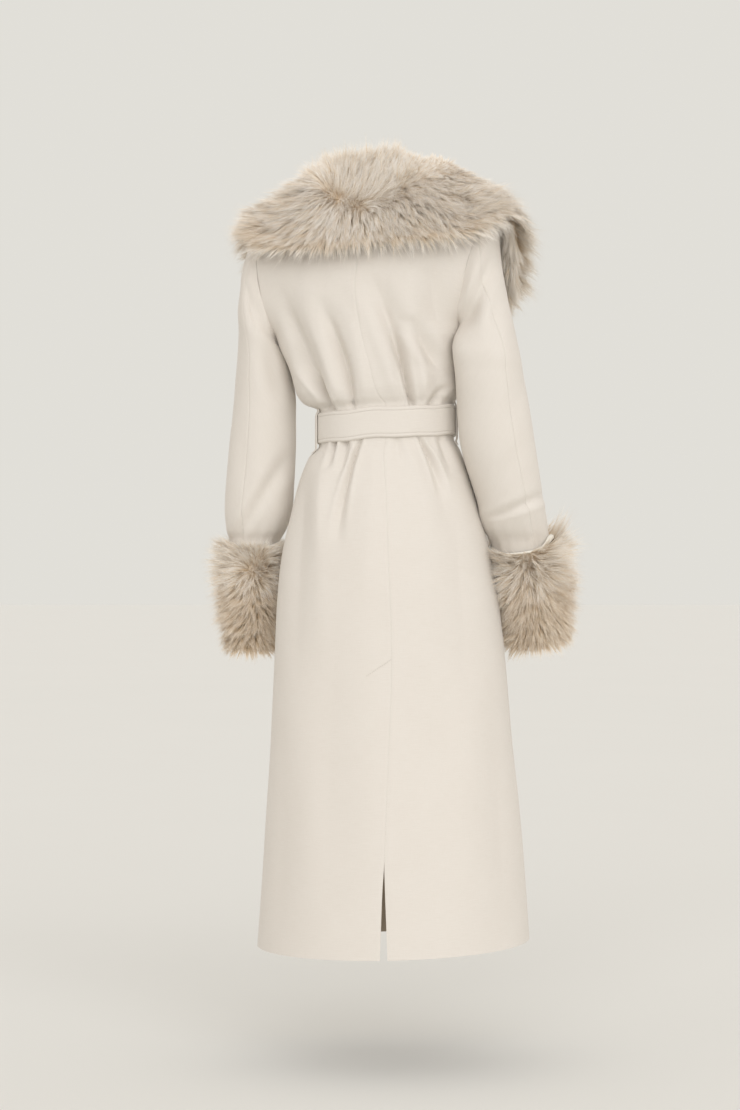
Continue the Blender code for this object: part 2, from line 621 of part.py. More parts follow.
def loft(name, rings, stuff, parent, closed=False):
    """A solid through closed rings of points; its ends are capped unless the rings themselves form a ring."""
    rings = np.asarray(rings)
    count, sides = rings.shape[:2]
    faces = grid_faces(count, sides, True, False)
    if closed:
        last = (count - 1) * sides
        faces += [(last + c, last + (c + 1) % sides, (c + 1) % sides, c) for c in range(sides)]
    else:
        faces += [tuple(range(sides))[::-1], tuple(range((count - 1) * sides, count * sides))]
    return face_out(piece(name, rings.reshape(-1, 3), faces, stuff, parent))


def make_body(parent):
    """The four panels and the two-piece sleeves; returns the walls, which the collar lies on."""
    walls = {}
    for side, hand in (("left", 1), ("right", -1)):
        walls[f"back_{side}"] = panel_walls("back", hand, back_places, BACK_COLUMNS)
        walls[f"front_{side}"] = panel_walls("front", hand, front_places, FRONT_COLUMNS)
        upper = (FOREARM_SEAM + SLEEVE_SEAM, HINDARM_SEAM - SLEEVE_SEAM, UPPER_SLEEVE_COLUMNS)
        under = (HINDARM_SEAM + SLEEVE_SEAM, FOREARM_SEAM + 2 * math.pi - SLEEVE_SEAM, UNDER_SLEEVE_COLUMNS)
        walls[f"sleeve_{side}_upper"] = sleeve_walls(side, *upper)
        walls[f"sleeve_{side}_under"] = sleeve_walls(side, *under)
    for name, (outer, inner) in walls.items():
        wall(name, outer, inner, "wool", parent)
    return walls


def make_collar(side, walls, parent):
    points, faces = [], []
    for outer, inner in walls.values():
        rows, columns = outer.shape[:2]
        first = np.cross(outer[1, 0] - outer[0, 0], outer[0, 1] - outer[0, 0])
        flip = first @ (outer[0, 0] - inner[0, 0]) > 0
        faces += [tuple(len(points) + i for i in face) for face in grid_faces(rows, columns, False, flip)]
        points += [tuple(p) for p in outer.reshape(-1, 3)]
    outer, inner = collar_walls(side, BVHTree.FromPolygons(points, faces))
    wall(f"collar_{side}", outer, inner, "fur", parent)


def make_cuff(side, parent):
    """A tube of fur round the end of a sleeve, flattened where it hangs against the coat."""
    cuff = CUFFS[side]
    top, bottom = np.array(cuff.top), np.array(cuff.bottom)
    axis = unit(bottom - top)
    across = unit(np.array([1.0, 0, 0]) - axis * axis[0]) * (1 if side == "left" else -1)
    back = unit(np.array([0, 1.0, 0]) - axis * axis[1])
    rings = []
    for turn in np.linspace(0, 2 * math.pi, CUFF_SIDES, endpoint=False):
        spoke = across * math.cos(turn) * cuff.wide + back * math.sin(turn) * cuff.deep
        full = 1 - cuff.flat * max(0.0, -math.cos(turn)) ** 2
        section = [(ring.along, mix(ring.inner, ring.outer, full)) for ring in CUFF_SECTION]
        section += [(ring.along, ring.inner) for ring in (CUFF_SECTION[-1], CUFF_SECTION[0])]
        rings.append([mix(top, bottom, along) + spoke * reach for along, reach in section])
    loft(f"cuff_{side}", rings, "fur", parent, closed=True)


def waist_ring(height, ease, turns):
    """Points round the waist, moved out by an ease; turn 0 is the left side and a quarter turn the back."""
    half = float(glide(BODY, "half_width", height)) + ease
    back = float(glide(BODY, "back", height)) + ease
    front = float(glide(BODY, "front", height)) + ease
    depth = np.where(np.sin(turns) > 0, back, front)
    return np.stack([half * np.cos(turns), depth * np.sin(turns), np.full_like(turns, height)], axis=-1)


def make_belt(parent):
    turns = np.linspace(0, 2 * math.pi, BELT_SIDES, endpoint=False)
    rings = []
    for out, up in ((0, -0.5), (1, -0.5), (1, 0.5), (0, 0.5)):
        ring = waist_ring(BELT_HEIGHT, BELT_EASE + out * BELT_THICKNESS, turns)
        ring[:, 2] += up * BELT_WIDTH
        rings.append(pose(ring))
    loft("belt", np.moveaxis(np.array(rings), 0, 1), "wool", parent, closed=True)


def make_loop(side, parent):
    """A belt loop at a side seam: a strip that bows out over the belt, with both ends on the coat."""
    turn = LOOP_TURN if side == "left" else math.pi - LOOP_TURN
    ends = waist_ring(BELT_HEIGHT, 0.0, turn + np.array([-NEAR, NEAR]))
    over = unit(ends[1] - ends[0]) * (1 if side == "left" else -1)
    rings = []
    for q in np.linspace(0, 1, LOOP_ROWS):
        height = mix(LOOP_TOP, LOOP_BOTTOM, q)
        bow = smoothstep(0, LOOP_BEND, q) * smoothstep(0, LOOP_BEND, 1 - q)
        rest = float(glide(BODY, "half_width", height)) - float(glide(BODY, "half_width", BELT_HEIGHT))
        ease = mix(rest + LOOP_EASE, max(rest + LOOP_EASE, BELT_EASE + BELT_THICKNESS + LOOP_EASE), bow)
        ring = []
        for across, out in ((-0.5, 0), (0.5, 0), (0.5, 1), (-0.5, 1)):
            point = waist_ring(BELT_HEIGHT, float(ease) + out * LOOP_THICKNESS, np.array([turn]))[0]
            ring.append(point + over * across * LOOP_WIDTH + (0, 0, height - BELT_HEIGHT))
        rings.append(ring)
    loft(f"belt_loop_{side}", pose(np.array(rings)), "wool", parent)


def front_y(x, height):
    """The upright front's y at a place below the belt."""
    half = float(glide(BODY, "half_width", height))
    return -float(glide(BODY, "front", height)) * math.sqrt(1 - min(abs(x) / half, 0.99) ** 2)


def make_knot(parent):
    """The belt's knot: a plump wrap at the front, over the crossing of the two ends."""
    turns = np.linspace(0, 2 * math.pi, KNOT_SIDES, endpoint=False)
    belt_face = -float(glide(BODY, "front", BELT_HEIGHT)) - BELT_EASE - BELT_THICKNESS - SEAM
    rings = []
    for q in np.linspace(-1, 1, KNOT_ROWS):
        swell = (1 - abs(q) ** 3 * KNOT_TAPER) ** 0.5
        across = np.sign(np.cos(turns)) * np.abs(np.cos(turns)) ** KNOT_SQUARE
        bulge = np.maximum(0, -np.sin(turns)) ** KNOT_PLUMP * KNOT_DEPTH * swell
        x = KNOT_X + KNOT_WIDTH / 2 * swell * across
        curve = float(glide(BODY, "front", BELT_HEIGHT)) * (1 - np.sqrt(1 - (x / KNOT_BEND) ** 2))
        y = belt_face + curve - bulge
        z = np.full_like(turns, BELT_HEIGHT + q * KNOT_HEIGHT / 2)
        rings.append(np.stack([x, y, z], axis=-1))
    loft("belt_knot", pose(np.array(rings)), "wool", parent)


def make_tail(side, parent):
    """A free end of the belt, hanging flat on the front below the knot."""
    tail = TAILS[side]
    belt_face = -float(glide(BODY, "front", BELT_HEIGHT)) - BELT_EASE - BELT_THICKNESS
    rows = []
    for q in np.linspace(0, 1, TAIL_ROWS):
        height = BELT_HEIGHT - KNOT_HEIGHT / 2 - SEAM - q * tail.length
        middle = KNOT_X + mix(tail.start, tail.end, q)
        xs = middle + np.linspace(-0.5, 0.5, TAIL_COLUMNS) * TAIL_WIDTH
        ys = [min(front_y(x, height), belt_face + TAIL_BEND * x * x) - tail.lift for x in xs]
        rows.append([(x, y, height) for x, y in zip(xs, ys)])
    outer = pose(np.array(rows)[::-1])
    wall(f"belt_tail_{side}", outer, outer + (0, BELT_THICKNESS, 0), "wool", parent)


def main():
    for old in list(bpy.data.objects):
        bpy.data.objects.remove(old)
    coat = bpy.data.objects.new("coat", None)
    bpy.context.scene.collection.objects.link(coat)
    walls = make_body(coat)
    for side in ("left", "right"):
        make_collar(side, walls, coat)
        make_cuff(side, coat)
        make_loop(side, coat)
        make_tail(side, coat)
    make_belt(coat)
    make_knot(coat)


main()
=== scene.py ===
"""The looks of a long wool coat: creased wool shells, long-haired fur, the tied belt and the sewing.

Units are metres and +Z is up. The coat's back faces +Y and its left side is +X.
"""

import math
from collections import namedtuple
from functools import cache, partialmethod

import bpy
import numpy as np
from bpy.props import FloatProperty, FloatVectorProperty, IntProperty, PointerProperty
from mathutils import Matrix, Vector
from mathutils.bvhtree import BVHTree


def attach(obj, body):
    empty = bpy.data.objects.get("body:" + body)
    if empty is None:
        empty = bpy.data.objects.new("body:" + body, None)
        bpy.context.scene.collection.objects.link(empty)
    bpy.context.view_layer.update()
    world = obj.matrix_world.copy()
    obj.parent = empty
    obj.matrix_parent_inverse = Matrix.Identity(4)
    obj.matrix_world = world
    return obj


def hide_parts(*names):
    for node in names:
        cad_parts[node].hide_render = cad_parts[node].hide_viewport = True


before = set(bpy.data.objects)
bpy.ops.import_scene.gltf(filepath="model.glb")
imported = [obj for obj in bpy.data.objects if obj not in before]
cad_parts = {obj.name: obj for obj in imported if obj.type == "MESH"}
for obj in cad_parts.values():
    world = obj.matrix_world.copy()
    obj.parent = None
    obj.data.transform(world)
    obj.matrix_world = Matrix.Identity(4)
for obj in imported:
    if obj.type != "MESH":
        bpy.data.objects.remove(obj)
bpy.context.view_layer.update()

bl_info = {
    "name": "Fur-trimmed coat",
    "version": (1, 0, 0),
    "blender": (4, 5, 0),
    "location": "View3D > Sidebar > Coat",
    "description": "Builds a belted wool coat with a fur collar and fur cuffs on its packed solids",
    "category": "Add Mesh",
}

SIDES = ("left", "right")
WEAVE_MAP = "Weave"  # a cloth's UV map, in metres along its threads
HAIR_MAP = "OFBake"  # the hair's UV map: its tint, and the way from root to tip
RIM_ANGLE = math.radians(62)  # edges sharper than this stay sharp

# The coat's form, as in its solids
CLOTH = 0.0024  # wool coating, wall thickness
SEAM = 0.0001  # gap between two pieces at a seam
ELLIPSE = 0.5523  # Bezier handle of a quarter ellipse, as a share of its half axis
HEM_HEIGHT = -1.360
HEM_DIP, HEM_DIP_RISE = 0.005, 0.350  # how much lower the hem hangs at the middles, and over what height
NEAR = 0.002  # step that a surface's slope is taken over
ROW_FROM, ROW_TO, ROW_STEPS = -0.95, 0.999, 800  # part of a row that a line is looked for in

UNDERARM_HEIGHT, UNDERARM_X = -0.262, 0.168
SHOULDER_TIP_HEIGHT, SHOULDER_TIP_X = -0.050, 0.214
ARMHOLE_BACK, ARMHOLE_FRONT = 0.062, 0.055  # how far the armhole reaches behind and before the shoulder line
NECK_HALF_WIDTH = 0.075
NECK_HANDLE = (0.055, 0.0, 0.012)  # leads the neckline sideways from the nape
SHOULDER_HANDLE = (-0.134, 0.0, 0.072)  # leads the shoulder seam inwards from the shoulder tip
NECK_SEAM = 0.0035  # how far the shoulder panels stop short of the shoulder line, as a share of their rise

BELT_HEIGHT, BELT_WIDTH, BELT_THICKNESS = -0.432, 0.055, 0.0036
BELT_EASE = 0.0007  # gap between the belt and the gathered cloth
LOOP_WIDTH, LOOP_THICKNESS, LOOP_EASE = 0.010, 0.0022, 0.0023
LOOP_TOP, LOOP_BOTTOM = -0.398, -0.476
LOOP_SQUARE, LOOP_PLUMP = 0.5, 0.8  # how square a loop's section is across, and how full outwards
LOOP_TURN = 0.22  # how far each loop lies towards the back of its side seam, as a turn round the waist
LOOP_BEND = 0.16  # share of the loop's length in which each end bows out over the belt
KNOT_X = 0.020  # the knot's place beside the middle of the front
KNOT_WIDTH, KNOT_HEIGHT, KNOT_DEPTH = 0.058, 0.064, 0.034
KNOT_TAPER, KNOT_SQUARE, KNOT_PLUMP = 0.75, 0.7, 0.8  # how its ends draw in, and how full it is
KNOT_BEND = 0.160  # half width of the ellipse that the knot's back follows round the belt
Crease = namedtuple("Crease", "slant beside width share")
KNOT_CREASES = (Crease(0.55, 0.15, 0.10, 1.0), Crease(0.4, -0.45, 0.09, 0.8))  # in half widths of the knot
CREASE_DEPTH, CREASE_FROM = 0.0045, (0.1, 0.6)  # depth, and sines of the turns between which they deepen
Tail = namedtuple("Tail", "start end lift length")
TAILS = {
    "left": Tail(0.004, 0.050, 0.0095, 0.400),
    "right": Tail(-0.004, -0.030, 0.0045, 0.360),
}
TAIL_WIDTH = 0.052
TAIL_BEND = 1.2  # how a tail bends back beside the middle, per metre squared
TAIL_RIPPLE, RIPPLES_DOWN, RIPPLES_ACROSS = 0.0012, 9, 30  # how a tail ripples below the knot
RIPPLE_FROM = 0.2  # share of its length over which that begins
Wave = namedtuple("Wave", "count phase height")
BELT_WAVES = (Wave(5, 0.7, 0.0010), Wave(9, 2.1, 0.0007))  # how the belt goes up and down round the waist
BELT_SWELL = Wave(7, 1.0, 0.0008)  # how its face goes in and out
BELT_STITCH, STITCH_SINK, STITCH_SOFT = 0.0070, 0.0008, 0.0009  # from the edges, how deep and how wide
STITCH_PITCH, STITCH_LENGTH, STITCH_WIDTH = 0.0034, 0.0025, 0.0009
LOOP_TACKS, LOOP_FACE = (3, -4), slice(1, 8)  # sections of a loop that are sewn, and the outer points there
VENT_TACK = (-0.0095, -0.8486), (0.0322, -0.8764)  # the slanting tack over the vent, as x and height
TACK_ROWS, TACK_STEPS = (0.0, 0.0012), 12  # heights of its rows of stitches over that line, and its points
STRIP_TURN, STRIP_SOFT = 0.8, 0.0013  # how far the belt's edges are turned in, and how near to them
# Lines of points along the belt, by their distance from its edges
STRIP_LINES = (0.0, 0.0004, 0.001, 0.0018, 0.0030, 0.0048, 0.0058, 0.0064, BELT_STITCH, 0.0076, 0.0082,
               0.0092, 0.0120, 0.0160, 0.0210)
VENT_EASE = 0.8  # how early the slit is wide, below 1 earlier
VENT_OPENS, VENT_GAP = -1.203, 0.0065  # where the vent's edges part, and half the slit's width at the hem

# The body by height: sideways shift, half width, depth behind and before the axis, twist in degrees
# towards the left, how much one side drops per metre across, and the back seam beside the axis
Section = namedtuple("Section", "height shift half_width back front twist tilt seam")
BODY = [
    Section(-1.366, -0.0150, 0.2450, 0.190, 0.140, 0, 0.026, 0.0185),
    Section(-1.260, -0.0150, 0.2380, 0.183, 0.136, 0, 0.028, 0.0185),
    Section(-1.112, -0.0135, 0.2270, 0.173, 0.132, 0, 0.032, 0.0125),
    Section(-1.003, -0.0110, 0.2170, 0.164, 0.130, 0, 0.036, 0.0055),
    Section(-0.859, -0.0080, 0.2070, 0.153, 0.128, 0, 0.040, -0.0025),
    Section(-0.751, -0.0040, 0.1980, 0.147, 0.127, 0, 0.045, -0.0045),
    Section(-0.659, 0.0000, 0.1850, 0.140, 0.124, 0, 0.050, -0.0045),
    Section(-0.572, 0.0020, 0.1655, 0.126, 0.116, 0, 0.055, -0.0040),
    Section(-0.520, 0.0025, 0.1505, 0.113, 0.108, 0, 0.058, -0.0010),
    Section(-0.482, 0.0015, 0.1350, 0.101, 0.101, 0, 0.059, 0.0020),
    Section(-0.463, -0.0025, 0.1215, 0.095, 0.097, 0, 0.059, 0.0030),
    Section(-0.400, -0.0025, 0.1215, 0.095, 0.097, 0, 0.059, 0.0030),
    Section(-0.386, 0.0060, 0.1390, 0.103, 0.107, 2, 0.058, 0.0020),
    Section(-0.366, 0.0110, 0.1480, 0.110, 0.116, 4, 0.057, 0.0010),
    Section(-0.330, 0.0160, 0.1500, 0.113, 0.122, 6, 0.056, 0.0000),
    Section(-0.262, 0.0270, 0.1680, 0.113, 0.125, 9, 0.055, 0.0000),
    Section(-0.200, 0.0320, 0.1750, 0.112, 0.118, 11, 0.055, 0.0000),
    Section(-0.120, 0.0250, 0.1750, 0.106, 0.090, 12, 0.055, 0.0000),
    Section(0.000, 0.0060, 0.1750, 0.060, 0.060, 12, 0.055, 0.0000),
    Section(0.080, 0.0000, 0.1750, 0.060, 0.060, 12, 0.055, 0.0000),
]

# The centre line above the underarm, from the underarm's level (0) to the neck (1)
Centre = namedtuple("Centre", "rise back front")
CENTRE = [
    Centre(0.00, 0.113, -0.125),
    Centre(0.30, 0.112, -0.118),
    Centre(0.60, 0.104, -0.085),
    Centre(0.85, 0.082, 0.000),
    Centre(1.00, 0.060, 0.060),
]

# The front edge by height, measured from the middle towards its own side; below zero it crosses the middle
FrontEdge = namedtuple("FrontEdge", "height reach")
FRONT_EDGE = [
    FrontEdge(-1.370, -0.080),
    FrontEdge(-0.700, -0.060),
    FrontEdge(-0.460, -0.036),
    FrontEdge(-0.385, -0.015),
    FrontEdge(-0.200, 0.027),
    FrontEdge(0.010, 0.075),
    FrontEdge(0.080, 0.075),
]
LAP_ROOM = 0.0022  # room between the two fronts
UNDERLAP = CLOTH + LAP_ROOM  # how far the left front lies inside the right one
UNDERLAP_FULL, UNDERLAP_NONE = 0.100, 0.150  # how far towards the left it does, and where it is back outside
UNDERLAP_LOW, UNDERLAP_HIGH = -0.330, -0.230  # heights between which it comes back out

# Folds: a line from its top to its bottom, how far it bows sideways, its half width at the top and at the
# bottom, its depth inwards (below zero it is a ridge), and where along it the fold is deepest
Fold = namedtuple("Fold", "top_x top_height low_x low_height bow top_width low_width depth peak")
BACK_FOLDS = [
    Fold(0.202, -0.170, 0.104, -0.410, -0.006, 0.024, 0.013, 0.0165, 0.75),
    Fold(0.184, -0.222, 0.140, -0.340, -0.003, 0.008, 0.007, 0.0065, 0.50),
    Fold(0.166, -0.285, 0.101, -0.410, 0.000, 0.010, 0.005, 0.0095, 0.90),
    Fold(0.143, -0.325, 0.091, -0.410, 0.002, 0.010, 0.0045, 0.0125, 0.90),
    Fold(0.121, -0.205, 0.058, -0.410, -0.007, 0.022, 0.011, 0.0175, 0.68),
    Fold(0.107, -0.240, 0.075, -0.345, -0.003, 0.008, 0.007, 0.0055, 0.50),
    Fold(0.085, -0.275, 0.058, -0.410, -0.003, 0.008, 0.0045, 0.0065, 0.88),
    Fold(0.032, -0.160, -0.048, -0.408, -0.011, 0.022, 0.012, 0.0180, 0.62),
    Fold(0.016, -0.215, -0.030, -0.350, -0.006, 0.008, 0.007, 0.0060, 0.55),
    Fold(-0.016, -0.265, -0.049, -0.408, -0.002, 0.008, 0.0038, 0.0115, 0.88),
    Fold(-0.040, -0.245, -0.100, -0.345, 0.000, 0.018, 0.014, 0.0140, 0.50),
    Fold(-0.081, -0.150, -0.096, -0.275, 0.000, 0.020, 0.020, 0.0095, 0.50),
    Fold(-0.112, -0.362, -0.078, -0.406, 0.004, 0.009, 0.006, 0.0080, 0.70),
    Fold(-0.066, -0.335, -0.064, -0.406, 0.000, 0.016, 0.012, -0.0065, 0.60),
    Fold(0.087, -0.456, 0.103, -0.516, 0.000, 0.0034, 0.0058, 0.0100, 0.22),
    Fold(0.069, -0.456, 0.083, -0.530, -0.002, 0.0040, 0.0110, 0.0080, 0.22),
    Fold(0.042, -0.456, 0.086, -0.645, 0.0075, 0.0034, 0.0085, 0.0115, 0.20),
    Fold(-0.057, -0.453, -0.104, -0.566, -0.0065, 0.0034, 0.0075, 0.0110, 0.28),
    Fold(-0.060, -0.460, -0.122, -0.640, -0.004, 0.0100, 0.0200, 0.0050, 0.30),
    Fold(-0.020, -0.456, -0.026, -0.520, 0.000, 0.006, 0.012, 0.0045, 0.28),
    Fold(-0.095, -0.453, -0.120, -0.535, -0.002, 0.005, 0.012, 0.0065, 0.25),
    Fold(0.112, -0.495, 0.118, -0.680, 0.000, 0.014, 0.020, -0.0065, 0.35),
    Fold(0.147, -0.510, 0.158, -0.900, 0.003, 0.014, 0.026, 0.0070, 0.32),
    Fold(0.022, -0.475, 0.040, -0.780, 0.000, 0.028, 0.040, -0.0050, 0.50),
    Fold(-0.120, -0.540, -0.152, -0.960, 0.000, 0.028, 0.040, 0.0055, 0.45),
    Fold(0.085, -0.740, 0.107, -1.320, 0.004, 0.030, 0.050, 0.0045, 0.50),
    Fold(-0.060, -0.840, -0.085, -1.358, -0.004, 0.040, 0.055, 0.0045, 0.60),
    Fold(-0.190, -0.880, -0.215, -1.358, 0.000, 0.025, 0.035, 0.0055, 0.65),
    Fold(0.180, -0.960, 0.190, -1.358, 0.000, 0.025, 0.035, 0.0050, 0.65),
]
FRONT_FOLDS = [
    Fold(0.137, -0.245, 0.088, -0.410, 0.004, 0.020, 0.011, 0.0115, 0.82),
    Fold(0.098, -0.285, 0.062, -0.410, 0.002, 0.013, 0.006, 0.0095, 0.88),
    Fold(0.118, -0.335, 0.080, -0.410, 0.000, 0.008, 0.005, 0.0060, 0.90),
    Fold(-0.127, -0.255, -0.085, -0.406, -0.004, 0.020, 0.011, 0.0115, 0.82),
    Fold(-0.088, -0.290, -0.055, -0.406, 0.000, 0.013, 0.006, 0.0095, 0.88),
    Fold(-0.106, -0.340, -0.074, -0.406, 0.000, 0.008, 0.005, 0.0060, 0.90),
    Fold(0.075, -0.456, 0.107, -0.650, 0.003, 0.005, 0.018, 0.0115, 0.16),
    Fold(0.052, -0.456, 0.060, -0.540, 0.000, 0.004, 0.010, 0.0070, 0.28),
    Fold(-0.070, -0.453, -0.102, -0.610, -0.003, 0.005, 0.018, 0.0115, 0.16),
    Fold(-0.030, -0.454, -0.050, -0.570, 0.000, 0.005, 0.013, 0.0085, 0.20),
    Fold(-0.098, -0.453, -0.120, -0.540, 0.000, 0.005, 0.012, 0.0065, 0.28),
    Fold(0.140, -0.550, 0.160, -1.010, 0.004, 0.025, 0.040, 0.0070, 0.40),
    Fold(-0.140, -0.590, -0.160, -1.060, -0.004, 0.025, 0.040, 0.0070, 0.45),
    Fold(0.020, -0.690, 0.030, -1.335, 0.003, 0.030, 0.045, 0.0045, 0.55),
    Fold(-0.090, -0.810, -0.110, -1.358, 0.000, 0.030, 0.045, 0.0050, 0.60),
    Fold(0.170, -0.940, 0.185, -1.358, 0.000, 0.025, 0.035, 0.0055, 0.65),
]
FOLDS = {"back": BACK_FOLDS, "front": FRONT_FOLDS}
RIDGE_SHARE, RIDGE_OFF, RIDGE_WIDTH = 0.30, 2.0, 0.9  # the ridges beside a fold, in its depth and half widths
VALLEY_POWER = 1.55  # 2 is a round valley, 1 a sharp one

# The sleeve head in the upright coat: each ring runs from the underarm side to the outer side
Cap = namedtuple("Cap", "inner_x inner_height outer_x outer_height half_depth")
SLEEVE_HEADS = {
    "left": [
        Cap(0.1725, -0.2680, 0.2270, -0.095, 0.0650),
        Cap(0.1735, -0.2780, 0.2330, -0.165, 0.0675),
    ],
    "right": [
        Cap(0.1720, -0.2690, 0.2290, -0.098, 0.0650),
        Cap(0.1720, -0.2800, 0.2440, -0.172, 0.0675),
    ],
}

# The sleeves below the head, as they hang
Arm = namedtuple("Arm", "height x y half_width half_depth")
ARMS = {
    "left": [
        Arm(-0.300, 0.2275, -0.045, 0.0400, 0.0680),
        Arm(-0.345, 0.2255, -0.048, 0.0460, 0.0670),
        Arm(-0.395, 0.2205, -0.050, 0.0550, 0.0650),
        Arm(-0.474, 0.2230, -0.056, 0.0610, 0.0630),
        Arm(-0.565, 0.2310, -0.066, 0.0610, 0.0620),
        Arm(-0.615, 0.2360, -0.074, 0.0550, 0.0570),
        Arm(-0.636, 0.2385, -0.079, 0.0478, 0.0510),
        Arm(-0.647, 0.2395, -0.080, 0.0460, 0.0495),
        Arm(-0.665, 0.2392, -0.0823, 0.0457, 0.0490),
    ],
    "right": [
        Arm(-0.300, -0.1840, 0.066, 0.0530, 0.0660),
        Arm(-0.345, -0.1860, 0.066, 0.0590, 0.0650),
        Arm(-0.395, -0.1908, 0.062, 0.0637, 0.0640),
        Arm(-0.474, -0.2010, 0.053, 0.0665, 0.0630),
        Arm(-0.565, -0.2230, 0.030, 0.0600, 0.0620),
        Arm(-0.615, -0.2360, 0.010, 0.0570, 0.0570),
        Arm(-0.636, -0.2425, 0.000, 0.0547, 0.0512),
        Arm(-0.647, -0.2452, -0.005, 0.0542, 0.0503),
        Arm(-0.665, -0.2480, -0.011, 0.0542, 0.0502),
    ],
}
HINDARM_SEAM, FOREARM_SEAM = math.radians(65), math.radians(-130)  # turn from the outer side towards the back
SLEEVE_FOLDS = {
    ("left", "back"): [
        Fold(0.252, -0.170, 0.220, -0.275, 0.004, 0.011, 0.012, 0.0110, 0.55),
        Fold(0.212, -0.290, 0.184, -0.400, 0.000, 0.014, 0.016, 0.0060, 0.50),
        Fold(0.166, -0.470, 0.266, -0.640, 0.000, 0.015, 0.012, 0.0095, 0.60),
        Fold(0.186, -0.545, 0.246, -0.650, 0.000, 0.010, 0.010, 0.0036, 0.55),
        Fold(0.262, -0.400, 0.250, -0.560, 0.000, 0.014, 0.014, 0.0020, 0.50),
    ],
    ("left", "front"): [
        Fold(0.246, -0.200, 0.205, -0.300, 0.004, 0.012, 0.012, 0.0055, 0.60),
        Fold(0.270, -0.420, 0.200, -0.520, 0.000, 0.012, 0.012, 0.0050, 0.50),
        Fold(0.265, -0.470, 0.205, -0.600, 0.000, 0.010, 0.010, 0.0042, 0.50),
    ],
    ("right", "back"): [
        Fold(-0.186, -0.135, -0.124, -0.280, -0.012, 0.011, 0.014, 0.0120, 0.55),
        Fold(-0.200, -0.180, -0.186, -0.305, 0.000, 0.011, 0.012, 0.0050, 0.45),
        Fold(-0.252, -0.330, -0.212, -0.460, 0.000, 0.016, 0.016, 0.0022, 0.50),
        Fold(-0.296, -0.550, -0.190, -0.604, 0.000, 0.018, 0.016, 0.0085, 0.55),
        Fold(-0.236, -0.470, -0.180, -0.570, 0.000, 0.014, 0.014, 0.0026, 0.50),
    ],
    ("right", "front"): [
        Fold(-0.250, -0.180, -0.170, -0.290, 0.000, 0.012, 0.012, 0.0055, 0.60),
        Fold(-0.260, -0.410, -0.180, -0.500, 0.000, 0.012, 0.012, 0.0052, 0.50),
        Fold(-0.270, -0.480, -0.195, -0.585, 0.000, 0.011, 0.011, 0.0044, 0.50),
    ],
}
SLEEVE_RADIUS = 0.028  # least radius of a sleeve
SLEEVE_SEAM = SEAM / 2 / SLEEVE_RADIUS  # half a seam's gap, as a turn round the sleeve
ARMHOLE_GAP, SHOULDER_GAP = 0.0001, 0.0004  # gap at the armhole seam, and what is added at the shoulder tip
SHOULDER_GAP_FROM = 0.2  # cosine of the turn where the added gap begins
FOLD_NONE, FOLD_FULL = -0.2, 0.4  # sines of the turns where a sleeve's folds begin and are whole

# Where a sleeve swells out: the turn and how far round it, the height and how far up and down, and how much
Bulge = namedtuple("Bulge", "turn spread height reach rise")
BULGES = {
    "left": [Bulge(3.10, 0.80, -0.335, 0.055, 0.0130), Bulge(2.90, 0.70, -0.590, 0.045, 0.0050)],
    "right": [Bulge(2.70, 0.50, -0.275, 0.065, 0.0200), Bulge(2.80, 0.60, -0.612, 0.030, 0.0060)],
}
GATHER_TOP, GATHER_LOW = -0.590, -0.634  # heights between which the sleeve is gathered into its cuff
GATHERS = [Wave(7, 0.4, 0.0009), Wave(11, 1.9, 0.0008), Wave(17, 0.9, 0.0006)]

# The collar by its place on the neckline: 0 at the centre back, 1 at the shoulder, 2 at the end of the front
# The edge is where the skin under the fur ends, and the loft is the height of the fur over the skin
Collar = namedtuple("Collar", "place stand edge_x edge_y edge_height loft")
COLLARS = {
    "left": [
        Collar(0.00, 0.040, 0.000, 0.128, -0.112, 0.030),
        Collar(0.45, 0.038, 0.095, 0.122, -0.112, 0.030),
        Collar(0.80, 0.030, 0.172, 0.092, -0.104, 0.030),
        Collar(1.00, 0.024, 0.228, 0.032, -0.070, 0.028),
        Collar(1.12, 0.018, 0.236, -0.040, -0.094, 0.027),
        Collar(1.30, 0.014, 0.205, -0.105, -0.160, 0.027),
        Collar(1.55, 0.012, 0.160, -0.130, -0.235, 0.025),
        Collar(1.80, 0.010, 0.095, -0.143, -0.285, 0.022),
        Collar(2.00, 0.008, 0.040, -0.145, -0.300, 0.014),
    ],
    "right": [
        Collar(0.00, 0.040, 0.000, 0.128, -0.112, 0.030),
        Collar(0.45, 0.038, 0.095, 0.122, -0.112, 0.030),
        Collar(0.80, 0.028, 0.180, 0.094, -0.108, 0.026),
        Collar(1.00, 0.028, 0.240, 0.028, -0.068, 0.022),
        Collar(1.12, 0.022, 0.258, -0.045, -0.122, 0.025),
        Collar(1.30, 0.014, 0.240, -0.108, -0.214, 0.028),
        Collar(1.55, 0.012, 0.166, -0.134, -0.270, 0.025),
        Collar(1.80, 0.010, 0.085, -0.146, -0.320, 0.022),
        Collar(2.00, 0.008, 0.022, -0.146, -0.365, 0.014),
    ],
}
LAPEL_END = {"left": -0.265, "right": -0.355}  # height where each lapel ends on the front edge
LAPEL_LOW = -0.460  # height that the front edge is followed up from
COLLAR_SEAT = 0.0009  # gap between the collar's seat and the neckline
COLLAR_CLEARANCE = 0.010  # room between the skin and the shoulders it lies on
DRAPE_RISE, DRAPE_ROUNDS = 0.3, 3  # share of the skin that the room grows over, and how often it is set
ROLL_REACH, FALL_REACH = 2.1, 1.1  # how far the skin's handles lead out, in heights of the stand
FALL_SHARE = 0.45  # how far back from the edge the fall's handle lies
